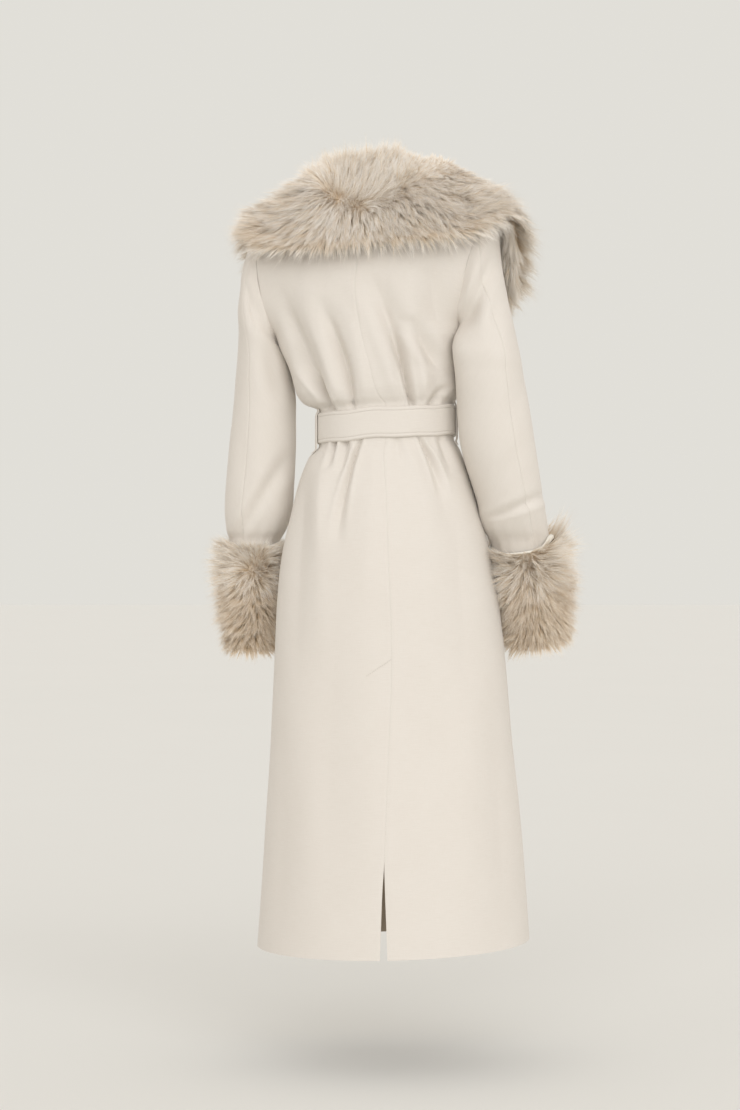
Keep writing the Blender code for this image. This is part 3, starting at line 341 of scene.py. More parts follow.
# Which way the collar stands at the nape, at the shoulder and on the lapel
NAPE_LEAN, SHOULDER_LEAN, LAPEL_LEAN = (0.0, 0.25, 1.0), (0.15, 0.0, 1.0), (0.1, -1.0, 0.15)
LAPEL_TURN = 0.5  # place past the shoulder by which the collar stands out to the front
CENTRE_ACROSS = np.array([1.0, 0.0, 0.0])

# The height of the fur along the skin from its seat (0) to its edge (1), in lofts
FurPoint = namedtuple("FurPoint", "along height")
COLLAR_SECTION = [
    FurPoint(0.00, 0.45),
    FurPoint(0.10, 0.80),
    FurPoint(0.22, 0.95),
    FurPoint(0.36, 1.00),
    FurPoint(0.74, 1.00),
    FurPoint(1.00, 0.90),
]

# The radius of a cuff's skin along its axis, from its top (0) to its bottom (1)
Ring = namedtuple("Ring", "along radius")
CUFF_SECTION = [
    Ring(0.00, 0.0510),
    Ring(0.10, 0.0505),
    Ring(0.32, 0.0500),
    Ring(0.68, 0.0490),
    Ring(0.90, 0.0485),
    Ring(1.00, 0.0480),
]
Cuff = namedtuple("Cuff", "top bottom wide deep flat")  # flat is how short its fur is against the coat
CUFFS = {
    "left": Cuff((0.2395, -0.080, -0.646), (0.2365, -0.104, -0.834), 0.92, 1.05, 0.75),
    "right": Cuff((-0.2450, -0.005, -0.646), (-0.2750, -0.062, -0.815), 1.08, 1.00, 0.92),
}

# How finely the shells are divided
Band = namedtuple("Band", "top rows")
ROW_BANDS = [Band(-1.356, 3), Band(-0.640, 44), Band(-0.520, 24), Band(-0.280, 80)]
SHOULDER_ROWS = 36
BACK_COLUMNS, FRONT_COLUMNS = 96, 52
EDGE_STEPS = (0.0, 0.0006, 0.0014, 0.0026, 0.0042)  # columns beside a seam
SLEEVE_ROWS, SLEEVE_COLUMNS = 120, 26
SEAM_DIP, SEAM_ROLL = 0.00055, 0.0016  # how far cloth rolls in at a seam, and how near to it
PANEL_WIDTH = 0.210  # about what a panel measures across
COLLAR_STATIONS, COLLAR_ROWS, NECK_STEPS = 61, 25, 60
CUFF_SIDES, CUFF_ROWS = 48, 16
BELT_SIDES, TAIL_ROWS = 220, 46
LOOP_RINGS, LOOP_SIDES, KNOT_RINGS, KNOT_SIDES = 41, 16, 41, 64
FRONT_MOST = 0.99  # share of its half width that the front is followed round to


# Curves and tables

def glide(table, column, at):
    """A column of a table at any place: a smooth curve through its rows that doesn't overshoot."""
    knots = np.array([row[0] for row in table], float)
    values = np.array([getattr(row, column) for row in table], float)
    step = np.diff(knots)
    slope = np.diff(values) / step
    tangent = np.concatenate([slope[:1], np.zeros(len(slope) - 1), slope[-1:]])
    for i in range(1, len(slope)):
        if slope[i - 1] * slope[i] > 0:
            tangent[i] = 2 * slope[i - 1] * slope[i] / (slope[i - 1] + slope[i])
    at = np.clip(at, knots[0], knots[-1])
    i = np.clip(np.searchsorted(knots, at) - 1, 0, len(step) - 1)
    q = (at - knots[i]) / step[i]
    rise = values[i] * (1 + 2 * q) * (1 - q) ** 2 + values[i + 1] * q * q * (3 - 2 * q)
    return rise + step[i] * q * (1 - q) * (tangent[i] * (1 - q) - tangent[i + 1] * q)


def flow(rings, count):
    """Rings spread evenly along a smooth curve through the given ones, point by point."""
    rings = np.asarray(rings, float)
    padded = np.concatenate([2 * rings[:1] - rings[1:2], rings, 2 * rings[-1:] - rings[-2:-1]])
    at = np.linspace(0, len(rings) - 1, count)
    i = np.minimum(at.astype(int), len(rings) - 2)
    q = (at - i).reshape(-1, *[1] * (rings.ndim - 1))
    a, b, c, d = padded[i], padded[i + 1], padded[i + 2], padded[i + 3]
    return b + 0.5 * q * (c - a + q * (2 * a - 5 * b + 4 * c - d + q * (3 * (b - c) + d - a)))


def bezier(handles, t):
    a, b, c, d = (np.asarray(h, float) for h in handles)
    t = np.asarray(t, float)[..., None]
    return a * (1 - t) ** 3 + 3 * b * t * (1 - t) ** 2 + 3 * c * t * t * (1 - t) + d * t**3


def smoothstep(low, high, at):
    q = np.clip((at - low) / (high - low), 0, 1)
    return q * q * (3 - 2 * q)


def mix(a, b, share):
    return np.asarray(a, float) * (1 - share) + np.asarray(b, float) * share


def unit(vectors):
    return vectors / np.maximum(np.linalg.norm(vectors, axis=-1, keepdims=True), 1e-9)


def around(count):
    """The turns of a closed ring's points."""
    return np.linspace(0, 2 * math.pi, count, endpoint=False)


def hand_of(side):
    return 1 if side == "left" else -1


# The coat's form

def body_at(column, height):
    return float(glide(BODY, column, height))


def pose(points):
    """Leans, twists and tilts the upright coat into the stance it is worn in."""
    x, y, z = np.moveaxis(np.asarray(points, float), -1, 0)
    turn = np.radians(glide(BODY, "twist", z))
    across = x * np.cos(turn) + y * np.sin(turn)
    along = y * np.cos(turn) - x * np.sin(turn)
    return np.stack([across + glide(BODY, "shift", z), along, z - glide(BODY, "tilt", z) * across], axis=-1)


def armhole(turn):
    """The armhole's edge: turn is 0 at the shoulder tip, a quarter at the back and half at the underarm."""
    rise = (1 + np.cos(turn)) / 2
    depth = np.where(np.sin(turn) > 0, ARMHOLE_BACK, ARMHOLE_FRONT)
    x = mix(UNDERARM_X, SHOULDER_TIP_X, rise)
    return np.stack([x, depth * np.sin(turn), mix(UNDERARM_HEIGHT, SHOULDER_TIP_HEIGHT, rise)], axis=-1)


def row_handles(level, side):
    """Bezier handles of half a row of the body, from the centre line to the side seam or armhole.

    A level below 0 is metres under the underarm, and from 0 to 1 it rises from there to the shoulder line.
    """
    sign = 1 if side == "back" else -1
    height = UNDERARM_HEIGHT + min(level, 0)
    half = body_at("half_width", height)
    depth = sign * body_at(side, height)
    along = np.array([ELLIPSE * half, 0, 0])
    inward = np.array([0, ELLIPSE * depth, 0])
    if level <= 0:
        start = np.array([0, depth, height])
        end = np.array([half, 0, height])
        return start, start + along, end + inward, end
    start = np.array([0, float(glide(CENTRE, side, level)), UNDERARM_HEIGHT * (1 - level)])
    end = armhole(np.array(sign * math.pi * (1 - level)))
    return start, start + mix(along, NECK_HANDLE, level), end + mix(inward, SHOULDER_HANDLE, level), end


def row_points(level, side, t):
    """Points of a whole row: t runs from -1 at the right side over 0 at the centre to 1 at the left side."""
    t = np.asarray(t, float)
    points = bezier(row_handles(level, side), np.abs(t))
    points[..., 0] *= np.where(t < 0, -1, 1)
    return points


def place_of(level, side, x_at_height):
    """The t where a row meets a line that is given as x by height, on the line's own side."""
    t = np.linspace(ROW_FROM, ROW_TO, ROW_STEPS)
    points = row_points(level, side, t)
    return float(np.interp(0, points[:, 0] - x_at_height(points[:, 2]), t))


def levels():
    heights = [np.array([HEM_HEIGHT])]
    for band in ROW_BANDS:
        heights.append(np.linspace(heights[-1][-1], band.top, band.rows + 1)[1:])
    low = np.concatenate(heights) - UNDERARM_HEIGHT
    return np.concatenate([low, np.linspace(0, 1 - NECK_SEAM, SHOULDER_ROWS + 1)])


def columns(count):
    """Shares across a panel, closer together beside its two edges."""
    beside = np.array(EDGE_STEPS) / PANEL_WIDTH
    return np.concatenate([beside[:-1], np.linspace(beside[-1], 1 - beside[-1], count), 1 - beside[-2::-1]])


def fold_depth(folds, x, z):
    """How far the folds push the cloth in at a place; each fold has a ridge on both sides."""
    depth = np.zeros_like(x)
    for fold in folds:
        q = np.clip((z - fold.top_height) / (fold.low_height - fold.top_height), 0, 1)
        middle = mix(fold.top_x, fold.low_x, q) + 4 * fold.bow * q * (1 - q)
        off = np.abs(x - middle) / mix(fold.top_width, fold.low_width, q)
        along = np.where(q < fold.peak, q / fold.peak, (1 - q) / (1 - fold.peak))
        ridge = RIDGE_SHARE * np.exp(-(((off - RIDGE_OFF) / RIDGE_WIDTH) ** 2))
        depth += fold.depth * (np.exp(-(off**VALLEY_POWER)) - ridge) * along * (2 - along)
    return depth


def hem_dip(points):
    """Lets the hem hang a little lower away from the side seams."""
    near = 1 - smoothstep(HEM_HEIGHT, HEM_HEIGHT + HEM_DIP_RISE, points[..., 2])
    points[..., 2] -= HEM_DIP * near * np.clip(np.abs(points[..., 1]) / BODY[0].back, 0, 1)
    return points


def underlap(x, z):
    """How far the left front is set in under the right one."""
    beside = 1 - smoothstep(UNDERLAP_FULL, UNDERLAP_NONE, x)
    return UNDERLAP * beside * (1 - smoothstep(UNDERLAP_LOW, UNDERLAP_HIGH, z))


def body_points(level, side, t, under=False):
    """Outer points of the coat's body in its stance, with its folds pushed in."""
    upright = hem_dip(row_points(level, side, t))
    x, y, z = np.moveaxis(upright, -1, 0)
    half, depth = glide(BODY, "half_width", z), glide(BODY, side, z)
    out = unit(np.stack([x / half**2, y / depth**2, 0 * z], axis=-1))
    seen = pose(upright)
    inward = fold_depth(FOLDS[side], seen[..., 0], seen[..., 2])
    if under:
        inward = inward + underlap(x, z)
    return pose(upright - out * inward[..., None])


def seam_step(level, side):
    """The share of a row that the side seam's half gap takes."""
    depth = body_at(side, UNDERARM_HEIGHT + min(level, 0))
    return SEAM / 2 / (3 * ELLIPSE * depth) if level <= 0 else 0.0


def vent_gap(height):
    return SEAM / 2 + VENT_GAP * max(0.0, 1 - (height - HEM_HEIGHT) / (VENT_OPENS - HEM_HEIGHT)) ** VENT_EASE


def back_places(level, hand):
    """Where a row of half the back starts and ends: the back seam or the vent's edge, and the side."""
    height = UNDERARM_HEIGHT + min(level, 0)
    middle = body_at("seam", height) + hand * vent_gap(height)
    return place_of(level, "back", lambda z: middle), hand * (1 - seam_step(level, "back"))


def front_place(level):
    """Where a front's own edge meets a row, as t on its own side."""
    return place_of(level, "front", lambda z: glide(FRONT_EDGE, "reach", z))


def front_places(level, hand):
    return hand * front_place(level), hand * (1 - seam_step(level, "front"))


def roll_in(outer, out, shares, width):
    """Rolls a shell's edge columns in, as cloth does where it is sewn."""
    beside = np.minimum(shares, 1 - shares) * width
    return outer - out * (SEAM_DIP * np.exp(-((beside / SEAM_ROLL) ** 2)))[:, None]


def panel_walls(side, hand, places, count):
    """Outer and inner points of a panel, with its rims square to the seams."""
    under = side == "front" and hand > 0
    shares = columns(count)
    outer, ahead = [], []
    for level in levels():
        first, last = sorted(places(level, hand))
        t = mix(first, last, shares)
        outer.append(body_points(level, side, t, under))
        fore, hind = np.clip(t + NEAR, -1, 1), np.clip(t - NEAR, -1, 1)
        ahead.append(body_points(level, side, fore, under) - body_points(level, side, hind, under))
    outer, ahead = np.array(outer), unit(np.array(ahead))
    out = unit(np.cross(ahead, np.gradient(outer, axis=0))) * (-1 if side == "back" else 1)
    out[-1] = unit(np.array([0, 0, 1]) - ahead[-1] * ahead[-1][:, 2:])
    return roll_in(outer, out, shares, PANEL_WIDTH), outer - out * CLOTH


def sleeve_rings(side, turns):
    """Rings of a sleeve from the armhole to the cuff; turn 0 is the outer side, a quarter turn the back."""
    hand = hand_of(side)
    head = armhole(turns)
    head[:, 0] += ARMHOLE_GAP + SHOULDER_GAP * smoothstep(SHOULDER_GAP_FROM, 1, np.cos(turns))
    rings = [head]
    for cap in SLEEVE_HEADS[side]:
        inner = np.array([cap.inner_x, 0, cap.inner_height])
        outer = np.array([cap.outer_x, 0, cap.outer_height])
        across = np.outer(np.cos(turns), (outer - inner) / 2)
        rings.append((inner + outer) / 2 + across + np.outer(np.sin(turns), (0, cap.half_depth, 0)))
    rings = [pose(ring * (hand, 1, 1)) for ring in rings]
    for arm in ARMS[side]:
        across = np.outer(np.cos(turns), (hand * arm.half_width, 0, 0))
        rings.append((arm.x, arm.y, arm.height) + across + np.outer(np.sin(turns), (0, arm.half_depth, 0)))
    return rings


def sleeve_points(side, turns):
    """Outer points of a sleeve with its folds pushed in and its end gathered."""
    grid = flow(sleeve_rings(side, turns), SLEEVE_ROWS + 1)
    out = np.stack([hand_of(side) * np.cos(turns), np.sin(turns), 0 * turns], axis=-1)
    inward = np.zeros(grid.shape[:2])
    for face, sign in (("back", 1), ("front", -1)):
        share = smoothstep(FOLD_NONE, FOLD_FULL, sign * np.sin(turns))
        inward += fold_depth(SLEEVE_FOLDS[side, face], grid[..., 0], grid[..., 2]) * share
    for bulge in BULGES[side]:
        beside = np.angle(np.exp(1j * (turns - bulge.turn))) / bulge.spread
        inward -= bulge.rise * np.exp(-(beside**2) - ((grid[..., 2] - bulge.height) / bulge.reach) ** 2)
    near = smoothstep(GATHER_TOP, GATHER_LOW, grid[..., 2])
    for gather in GATHERS:
        inward += near * gather.height * (1 + np.cos(gather.count * turns + gather.phase))
    return grid - out * inward[..., None]


def sleeve_walls(side, first, last):
    """Outer and inner points of half a sleeve, from one seam to the other."""
    shares = columns(SLEEVE_COLUMNS)
    turns = mix(first, last, shares)
    outer = sleeve_points(side, turns)
    ahead = sleeve_points(side, turns + NEAR) - sleeve_points(side, turns - NEAR)
    out = unit(np.cross(np.gradient(outer, axis=0), ahead)) * hand_of(side)
    return roll_in(outer, out, shares, PANEL_WIDTH), outer - out * CLOTH


@cache
def cloth_walls():
    """The outer and inner points of every panel and sleeve, by node."""
    walls = {}
    for side in SIDES:
        hand = hand_of(side)
        walls[f"back_{side}"] = panel_walls("back", hand, back_places, BACK_COLUMNS)
        walls[f"front_{side}"] = panel_walls("front", hand, front_places, FRONT_COLUMNS)
        upper = FOREARM_SEAM + SLEEVE_SEAM, HINDARM_SEAM - SLEEVE_SEAM
        under = HINDARM_SEAM + SLEEVE_SEAM, FOREARM_SEAM + 2 * math.pi - SLEEVE_SEAM
        walls[f"sleeve_{side}_upper"] = sleeve_walls(side, *upper)
        walls[f"sleeve_{side}_under"] = sleeve_walls(side, *under)
    return walls


def front_edge():
    """The upright front edge from the belt to the shoulder, as points that rise."""
    rows = np.linspace(LAPEL_LOW - UNDERARM_HEIGHT, 1 - NECK_SEAM, NECK_STEPS)
    return np.array([row_points(level, "front", np.array([front_place(level)]))[0] for level in rows])


def neckline(place, side, edge):
    """A point of the neckline and which way the collar stands there; see the collar's table for its place."""
    if place <= 1:
        top = 1 - NECK_SEAM
        end = place_of(top, "back", lambda z: NECK_HALF_WIDTH)
        point = row_points(top, "back", np.array([place * end]))[0]
        lean = mix(NAPE_LEAN, SHOULDER_LEAN, place)
    else:
        height = mix(edge[-1][2], LAPEL_END[side], place - 1)
        point = np.array([np.interp(height, edge[:, 2], edge[:, i]) for i in range(3)])
        lean = mix(SHOULDER_LEAN, LAPEL_LEAN, smoothstep(0, LAPEL_TURN, place - 1))
    lean = unit(lean)
    mirror = (hand_of(side), 1, 1)
    return (point + lean * COLLAR_SEAT) * mirror, lean * mirror


def collar_section(row, side, edge):
    """A section of the collar's skin: up the stand, over the roll and down the fall to its edge."""
    seat, lean = neckline(row.place, side, edge)
    end = np.array([hand_of(side) * row.edge_x, row.edge_y, row.edge_height])
    roll = seat + ROLL_REACH * row.stand * lean
    fall = mix(end, seat, FALL_SHARE) + FALL_REACH * row.stand * lean
    return bezier((seat, roll, fall, end), np.linspace(0, 1, COLLAR_ROWS))


def drape(points, clearance, tree):
    """Moves points out until each is clear of the cloth below."""
    for spot in np.ndindex(points.shape[:2]):
        for _ in range(DRAPE_ROUNDS):
            near, normal = (np.array(found) for found in tree.find_nearest(points[spot])[:2])
            if (points[spot] - near) @ normal < clearance[spot[1]]:
                points[spot] = near + normal * clearance[spot[1]]
    return points


# A grid of skin: its points and normals, the places of its rings and rows, and the height of the fur
Skin = namedtuple("Skin", "points out places along loft", defaults=(None,))


def collar_skin(side, tree):
    """Half the collar's skin, from the centre back to the end of the lapel."""
    table, edge = COLLARS[side], front_edge()
    places = flow([row.place for row in table], COLLAR_STATIONS)
    values = [glide(table, name, places) for name in Collar._fields[1:]]
    points = np.array([collar_section(Collar(*row), side, edge) for row in zip(places, *values)])
    points[0, :, 0] = hand_of(side) * SEAM / 2
    along = np.linspace(0, 1, COLLAR_ROWS)
    points = drape(pose(points), COLLAR_CLEARANCE * smoothstep(0, DRAPE_RISE, along), tree)
    out = np.cross(np.gradient(points, axis=0), np.gradient(points, axis=1)) * hand_of(side)
    out[0] -= CENTRE_ACROSS * (out[0] @ CENTRE_ACROSS)[:, None]
    loft = values[-1][:, None] * glide(COLLAR_SECTION, "height", along)
    return Skin(points, unit(out), places, along, loft)


def cuff_axis(side):
    return unit(np.array(CUFFS[side].bottom) - np.array(CUFFS[side].top))


def cuff_skin(side):
    """The tube of skin under a cuff's fur, one ring a row."""
    cuff, axis = CUFFS[side], cuff_axis(side)
    across = unit(np.array([1.0, 0, 0]) - axis * axis[0]) * hand_of(side)
    back = unit(np.array([0, 1.0, 0]) - axis * axis[1])
    turns = np.linspace(0, 2 * math.pi, CUFF_SIDES + 1)
    along = np.linspace(0, 1, CUFF_ROWS)
    spokes = np.outer(np.cos(turns) * cuff.wide, across) + np.outer(np.sin(turns) * cuff.deep, back)
    radius = glide(CUFF_SECTION, "radius", along)
    points = mix(cuff.top, cuff.bottom, along[:, None])[:, None] + spokes[None] * radius[:, None, None]
    out = np.repeat(unit(spokes)[None], CUFF_ROWS, axis=0)
    return Skin(points, out, turns, along)


def waist_ring(height, ease, turns):
    """Points round the waist, moved out by an ease; turn 0 is the left side and a quarter turn the back."""
    half, back, front = (body_at(column, height) + ease for column in ("half_width", "back", "front"))
    depth = np.where(np.sin(turns) > 0, back, front)
    return np.stack([half * np.cos(turns), depth * np.sin(turns), np.full_like(turns, height)], axis=-1)


def belt_face():
    """The upright y of the belt's face in the middle of the front."""
    return -body_at("front", BELT_HEIGHT) - BELT_EASE - BELT_THICKNESS


def front_y(x, height):
    """The upright front's y at a place below the belt."""
    half = body_at("half_width", height)
    return -body_at("front", height) * math.sqrt(1 - min(abs(x) / half, FRONT_MOST) ** 2)


# Meshes

def grid_faces(rows, columns, wrap=False, flip=False):
    r, c = np.meshgrid(np.arange(rows - 1), np.arange(columns if wrap else columns - 1), indexing="ij")
    d = (c + 1) % columns
    low, high = r * columns, (r + 1) * columns
    faces = np.stack([low + c, low + d, high + d, high + c], axis=-1).reshape(-1, 4)
    return faces[:, ::-1] if flip else faces


def turned_in(outer, inner):
    """Whether the faces of a shell's outer grid have to be flipped to face out."""
    first = np.cross(outer[0, 1] - outer[0, 0], outer[1, 0] - outer[0, 0])
    return bool(first @ (outer[0, 0] - inner[0, 0]) < 0)


def run_lengths(grid, axis):
    """Metres along each row or column of a grid of points."""
    steps = np.linalg.norm(np.diff(grid, axis=axis), axis=-1)
    return np.concatenate([np.zeros_like(steps.take([0], axis)), np.cumsum(steps, axis)], axis)


def new_object(name, data):
    made = bpy.data.objects.new(name, data)
    bpy.context.scene.collection.objects.link(made)
    return made


def new_piece(name, points, faces, uv, kinds):
    """A piece with its place in its mesh; uv is one pair of metres a point, and kinds are its finishes."""
    mesh = bpy.data.meshes.new(name)
    mesh.from_pydata(points.tolist(), [], faces)
    for kind in kinds:
        mesh.materials.append(finish(kind))
    layer = mesh.uv_layers.new(name=WEAVE_MAP)
    corner = np.empty(len(mesh.loops), np.int32)
    mesh.loops.foreach_get("vertex_index", corner)
    layer.data.foreach_set("uv", np.asarray(uv, np.float32)[corner].ravel())
    mesh.shade_smooth()
    mesh.set_sharp_from_angle(angle=RIM_ANGLE)
    return new_object(name, mesh)


def shell(name, outer, inner, *kinds):
    """A closed shell between two grids of points, facing out; a second finish is for its inner side."""
    rows, count = outer.shape[:2]
    total = rows * count
    flip = turned_in(outer, inner)
    face = grid_faces(rows, count, flip=flip)
    back = grid_faces(rows, count, flip=not flip) + total
    low, high = np.arange(count), np.arange(total - count, total)
    left, right = np.arange(0, total, count), np.arange(count - 1, total, count)
    rim = []
    for edge in (low, right, high[::-1], left[::-1]):
        strip = np.stack([edge[1:], edge[:-1], edge[:-1] + total, edge[1:] + total], axis=-1)
        rim.append(strip[:, ::-1] if flip else strip)
    uv = np.stack([run_lengths(outer, 1), run_lengths(outer, 0)], axis=-1).reshape(-1, 2)
    points = np.concatenate([outer.reshape(-1, 3), inner.reshape(-1, 3)])
    faces = np.concatenate([face, back, *rim])
    made = new_piece(name, points, faces.tolist(), np.concatenate([uv, uv]), kinds)
    if len(kinds) > 1:
        within = np.zeros(len(faces), np.int32)
        within[len(face):len(face) + len(back)] = 1
        made.data.polygons.foreach_set("material_index", within)
    return made


def tube(name, rings, kind, closed=False):
    """A closed solid through rings of points; its ends are capped unless the rings themselves form a ring."""
    rings = np.asarray(rings)
    count, sides = rings.shape[:2]
    centre = rings[0].mean(axis=0)
    forward = rings[1].mean(axis=0) - centre
    flip = bool(np.cross(rings[0, 0] - centre, rings[0, 1] - centre) @ forward < 0)
    last = (count - 1) * sides
    if closed:
        ends = [[last + c, last + (c + 1) % sides, (c + 1) % sides, c] for c in range(sides)]
    else:
        ends = [list(range(sides))[::-1], list(range(last, last + sides))]
    faces = grid_faces(count, sides, wrap=True, flip=flip).tolist()
    faces += [end[::-1] for end in ends] if flip else ends
    uv = np.stack([run_lengths(rings, 0), run_lengths(rings, 1)], axis=-1).reshape(-1, 2)
    return new_piece(name, rings.reshape(-1, 3), faces, uv, [kind])


# Node trees

class Fields:
    """Adds nodes to a tree in short calls; values are numbers, vectors or sockets."""

    def __init__(self, tree):
        self.tree = tree

    def fill(self, node, given):
        """Sets a node's inputs, by their names or places."""
        for key, value in given.items():
            if isinstance(value, bpy.types.NodeSocket):
                self.tree.links.new(value, node.inputs[key])
            else:
                node.inputs[key].default_value = value
        return node

    def node(self, kind, given=None, **settings):
        made = self.tree.nodes.new(kind)
        for name, value in settings.items():
            setattr(made, name, value)
        return self.fill(made, given or {})

    def result(self, kind, given=None, **settings):
        """The first output of a new node."""
        return self.node(kind, given, **settings).outputs[0]

    def maths(self, operation, *values):
        return self.result("ShaderNodeMath", dict(enumerate(values)), operation=operation)

    def vectors(self, operation, *values):
        places = (0, "Scale") if operation == "SCALE" else range(len(values))
        made = self.node("ShaderNodeVectorMath", dict(zip(places, values)), operation=operation)
        return made.outputs["Value" if operation == "DOT_PRODUCT" else "Vector"]

    times = partialmethod(maths, "MULTIPLY")
    fused = partialmethod(maths, "MULTIPLY_ADD")
    add = partialmethod(vectors, "ADD")
    less = partialmethod(vectors, "SUBTRACT")
    scaled = partialmethod(vectors, "SCALE")
    levelled = partialmethod(vectors, "NORMALIZE")

    def between(self, share, low, high):
        return self.fused(share, high - low, low)

    def noise(self, place, scale, detail=2.0, output="Fac"):
        given = {"Vector": place, "Scale": scale, "Detail": detail}
        return self.node("ShaderNodeTexNoise", given).outputs[output]

    def split(self, vector):
        return self.node("ShaderNodeSeparateXYZ", {0: vector}).outputs[:]

    def joined(self, x, y, z=0.0):
        return self.result("ShaderNodeCombineXYZ", {0: x, 1: y, 2: z})

    def named(self, name, kind="FLOAT"):
        return self.result("GeometryNodeInputNamedAttribute", {"Name": name}, data_type=kind)

    def store(self, geometry, name, value, kind="FLOAT", domain="POINT"):
        given = {"Geometry": geometry, "Name": name, "Value": value}
        return self.result("GeometryNodeStoreNamedAttribute", given, data_type=kind, domain=domain)

    def close(self, geometry, finish):
        """Ends a tree with its geometry shaded smooth and in its material."""
        smooth = self.result("GeometryNodeSetShadeSmooth", {"Geometry": geometry})
        done = self.result("GeometryNodeSetMaterial", {"Geometry": smooth, "Material": finish})
        self.node("NodeGroupOutput", {0: done})
        return self.tree


def new_tree(name, inputs):
    """A tree with named inputs, by their kinds: its fields, and the sockets of its inputs."""
    tree = bpy.data.node_groups.new(name, "GeometryNodeTree")
    for label, kind in inputs.items():
        tree.interface.new_socket(label, in_out="INPUT", socket_type="NodeSocket" + kind)
    tree.interface.new_socket("Geometry", in_out="OUTPUT", socket_type="NodeSocketGeometry")
    fields = Fields(tree)
    return fields, fields.node("NodeGroupInput").outputs


def new_material(label):
    made = bpy.data.materials.new(label)
    made.use_nodes = True
    return made, Fields(made.node_tree), made.node_tree.nodes["Principled BSDF"]


def uv_of(nodes, name):
    return nodes.result("ShaderNodeUVMap", uv_map=name)


def ramp(nodes, value, stops):
    """A colour ramp of (place, colour) stops."""
    made = nodes.node("ShaderNodeValToRGB", {"Fac": value})
    for _ in range(len(stops) - 2):
        made.color_ramp.elements.new(0.5)
    for element, (place, colour) in zip(made.color_ramp.elements, stops):
        element.position = place
        element.color = (*colour, 1)
    return made.outputs["Color"]


def streaks(nodes, across, along, detail=2.0):
    """Streaks in a cloth, by how many there are in a metre across it and along it."""
    return nodes.noise(nodes.vectors("MULTIPLY", uv_of(nodes, WEAVE_MAP), (across, along, 0.0)), 1.0, detail)


def bumps(nodes, height, strength, distance):
    return nodes.result("ShaderNodeBump", {"Height": height, "Strength": strength, "Distance": distance})


def darker(colour, share):
    return tuple(share * c for c in colour)


# What shows in the wool: how many in a metre across and along it, and their weight in its tone and its height
Grain = namedtuple("Grain", "across along detail tone height")
WOOL_GRAINS = {
    "flecks": Grain(900.0, 900.0, 2.0, 0.30, 1.0),
    "slubs": Grain(45.0, 900.0, 2.0, 0.34, 0.5),
    "yarns": Grain(1000.0, 70.0, 2.0, 0.20, 0.0),
    "clouds": Grain(14.0, 14.0, 3.0, 0.16, 0.0),
}
TWILL_HEIGHT = 0.22


def wool_material(label, settings):
    """Brushed wool coating: pale yarns with flecks and slubs, a fine twill under a soft nap."""
    made, nodes, shader = new_material(label)
    rib = (2 * math.pi / settings.twill_pitch,) * 2 + (0.0,)
    twill = nodes.maths("SINE", nodes.vectors("DOT_PRODUCT", uv_of(nodes, WEAVE_MAP), rib))
    tone, height, shown = 0.0, nodes.times(twill, TWILL_HEIGHT), {}
    for name, grain in WOOL_GRAINS.items():
        shown[name] = streaks(nodes, grain.across, grain.along, grain.detail)
        tone = nodes.fused(shown[name], grain.tone, tone)
        if grain.height:
            height = nodes.fused(shown[name], grain.height, height)
    nodes.fill(shader, {
        "Base Color": ramp(nodes, tone, [(0.30, settings.shade_colour), (0.68, settings.colour)]),
        "Roughness": nodes.between(shown["flecks"], 0.80, 0.92),
        "Normal": bumps(nodes, height, strength=0.35, distance=0.0005),
        "Specular IOR Level": 0.25,
        "Sheen Weight": 0.22,
        "Sheen Roughness": 0.55,
        "Sheen Tint": (1.0, 0.97, 0.92, 1),
    })
    return made


def smooth_cloth(label, colour, shade, grain, rough):
    """A smooth cloth: how dark its shade is, its streaks across and along, and how rough it is."""
    made, nodes, shader = new_material(label)
    fine = streaks(nodes, *grain)
    nodes.fill(shader, {
        "Base Color": ramp(nodes, fine, [(0.3, darker(colour, shade)), (0.7, colour)]),
        "Roughness": nodes.between(fine, *rough),
    })
    return made


def inside_shaded_material(label, settings):
    """The coat's wrong side, a plain tan cloth with a fine upright grain; its tan is darkened as painted
    shade, for the shade inside the coat.
    """
    return smooth_cloth(label, settings.inside_colour, shade=0.85, grain=(900.0, 60.0), rough=(0.5, 0.6))


def satin_material(label, settings):
    """Cream satin with a fine grain along it."""
    return smooth_cloth(label, settings.satin_colour, shade=0.93, grain=(60.0, 900.0), rough=(0.25, 0.40))


def thread_material(label, settings):
    """Twisted sewing thread in the wool's shade."""
    made, nodes, shader = new_material(label)
    given = {"Vector": uv_of(nodes, WEAVE_MAP), "Scale": 6.0}
    twist = nodes.node("ShaderNodeTexWave", given, bands_direction="DIAGONAL").outputs["Fac"]
    stops = [(0.0, darker(settings.shade_colour, 0.78)), (1.0, settings.shade_colour)]
    nodes.fill(shader, {"Base Color": ramp(nodes, twist, stops), "Roughness": 0.6})
    return made


def fur_material(label, settings):
    """Long hair: brown at the root, greige in its length and pale near the tip, some with dark tips."""
    made, nodes, shader = new_material(label)
    tint, rise, _ = nodes.split(uv_of(nodes, HAIR_MAP))
    root, length, tip, guard = (
        settings.root_colour, settings.hair_colour, settings.tip_colour, settings.guard_colour)
    blend = nodes.node("ShaderNodeMix", {
        "Factor": ramp(nodes, tint, [(0.20, (0, 0, 0)), (0.62, (1, 1, 1))]),
        "A": ramp(nodes, rise, [(0.05, guard), (0.45, root), (0.80, length), (1.0, guard)]),
        "B": ramp(nodes, rise, [(0.05, root), (0.38, length), (0.78, tip), (1.0, length)]),
    }, data_type="RGBA")
    nodes.fill(shader, {
        "Base Color": blend.outputs["Result"],
        "Roughness": 0.55,
        "Specular IOR Level": 0.30,
        "Sheen Weight": 0.25,
        "Sheen Roughness": 0.5,
        "Sheen Tint": (1.0, 0.95, 0.87, 1),
    })
    return made


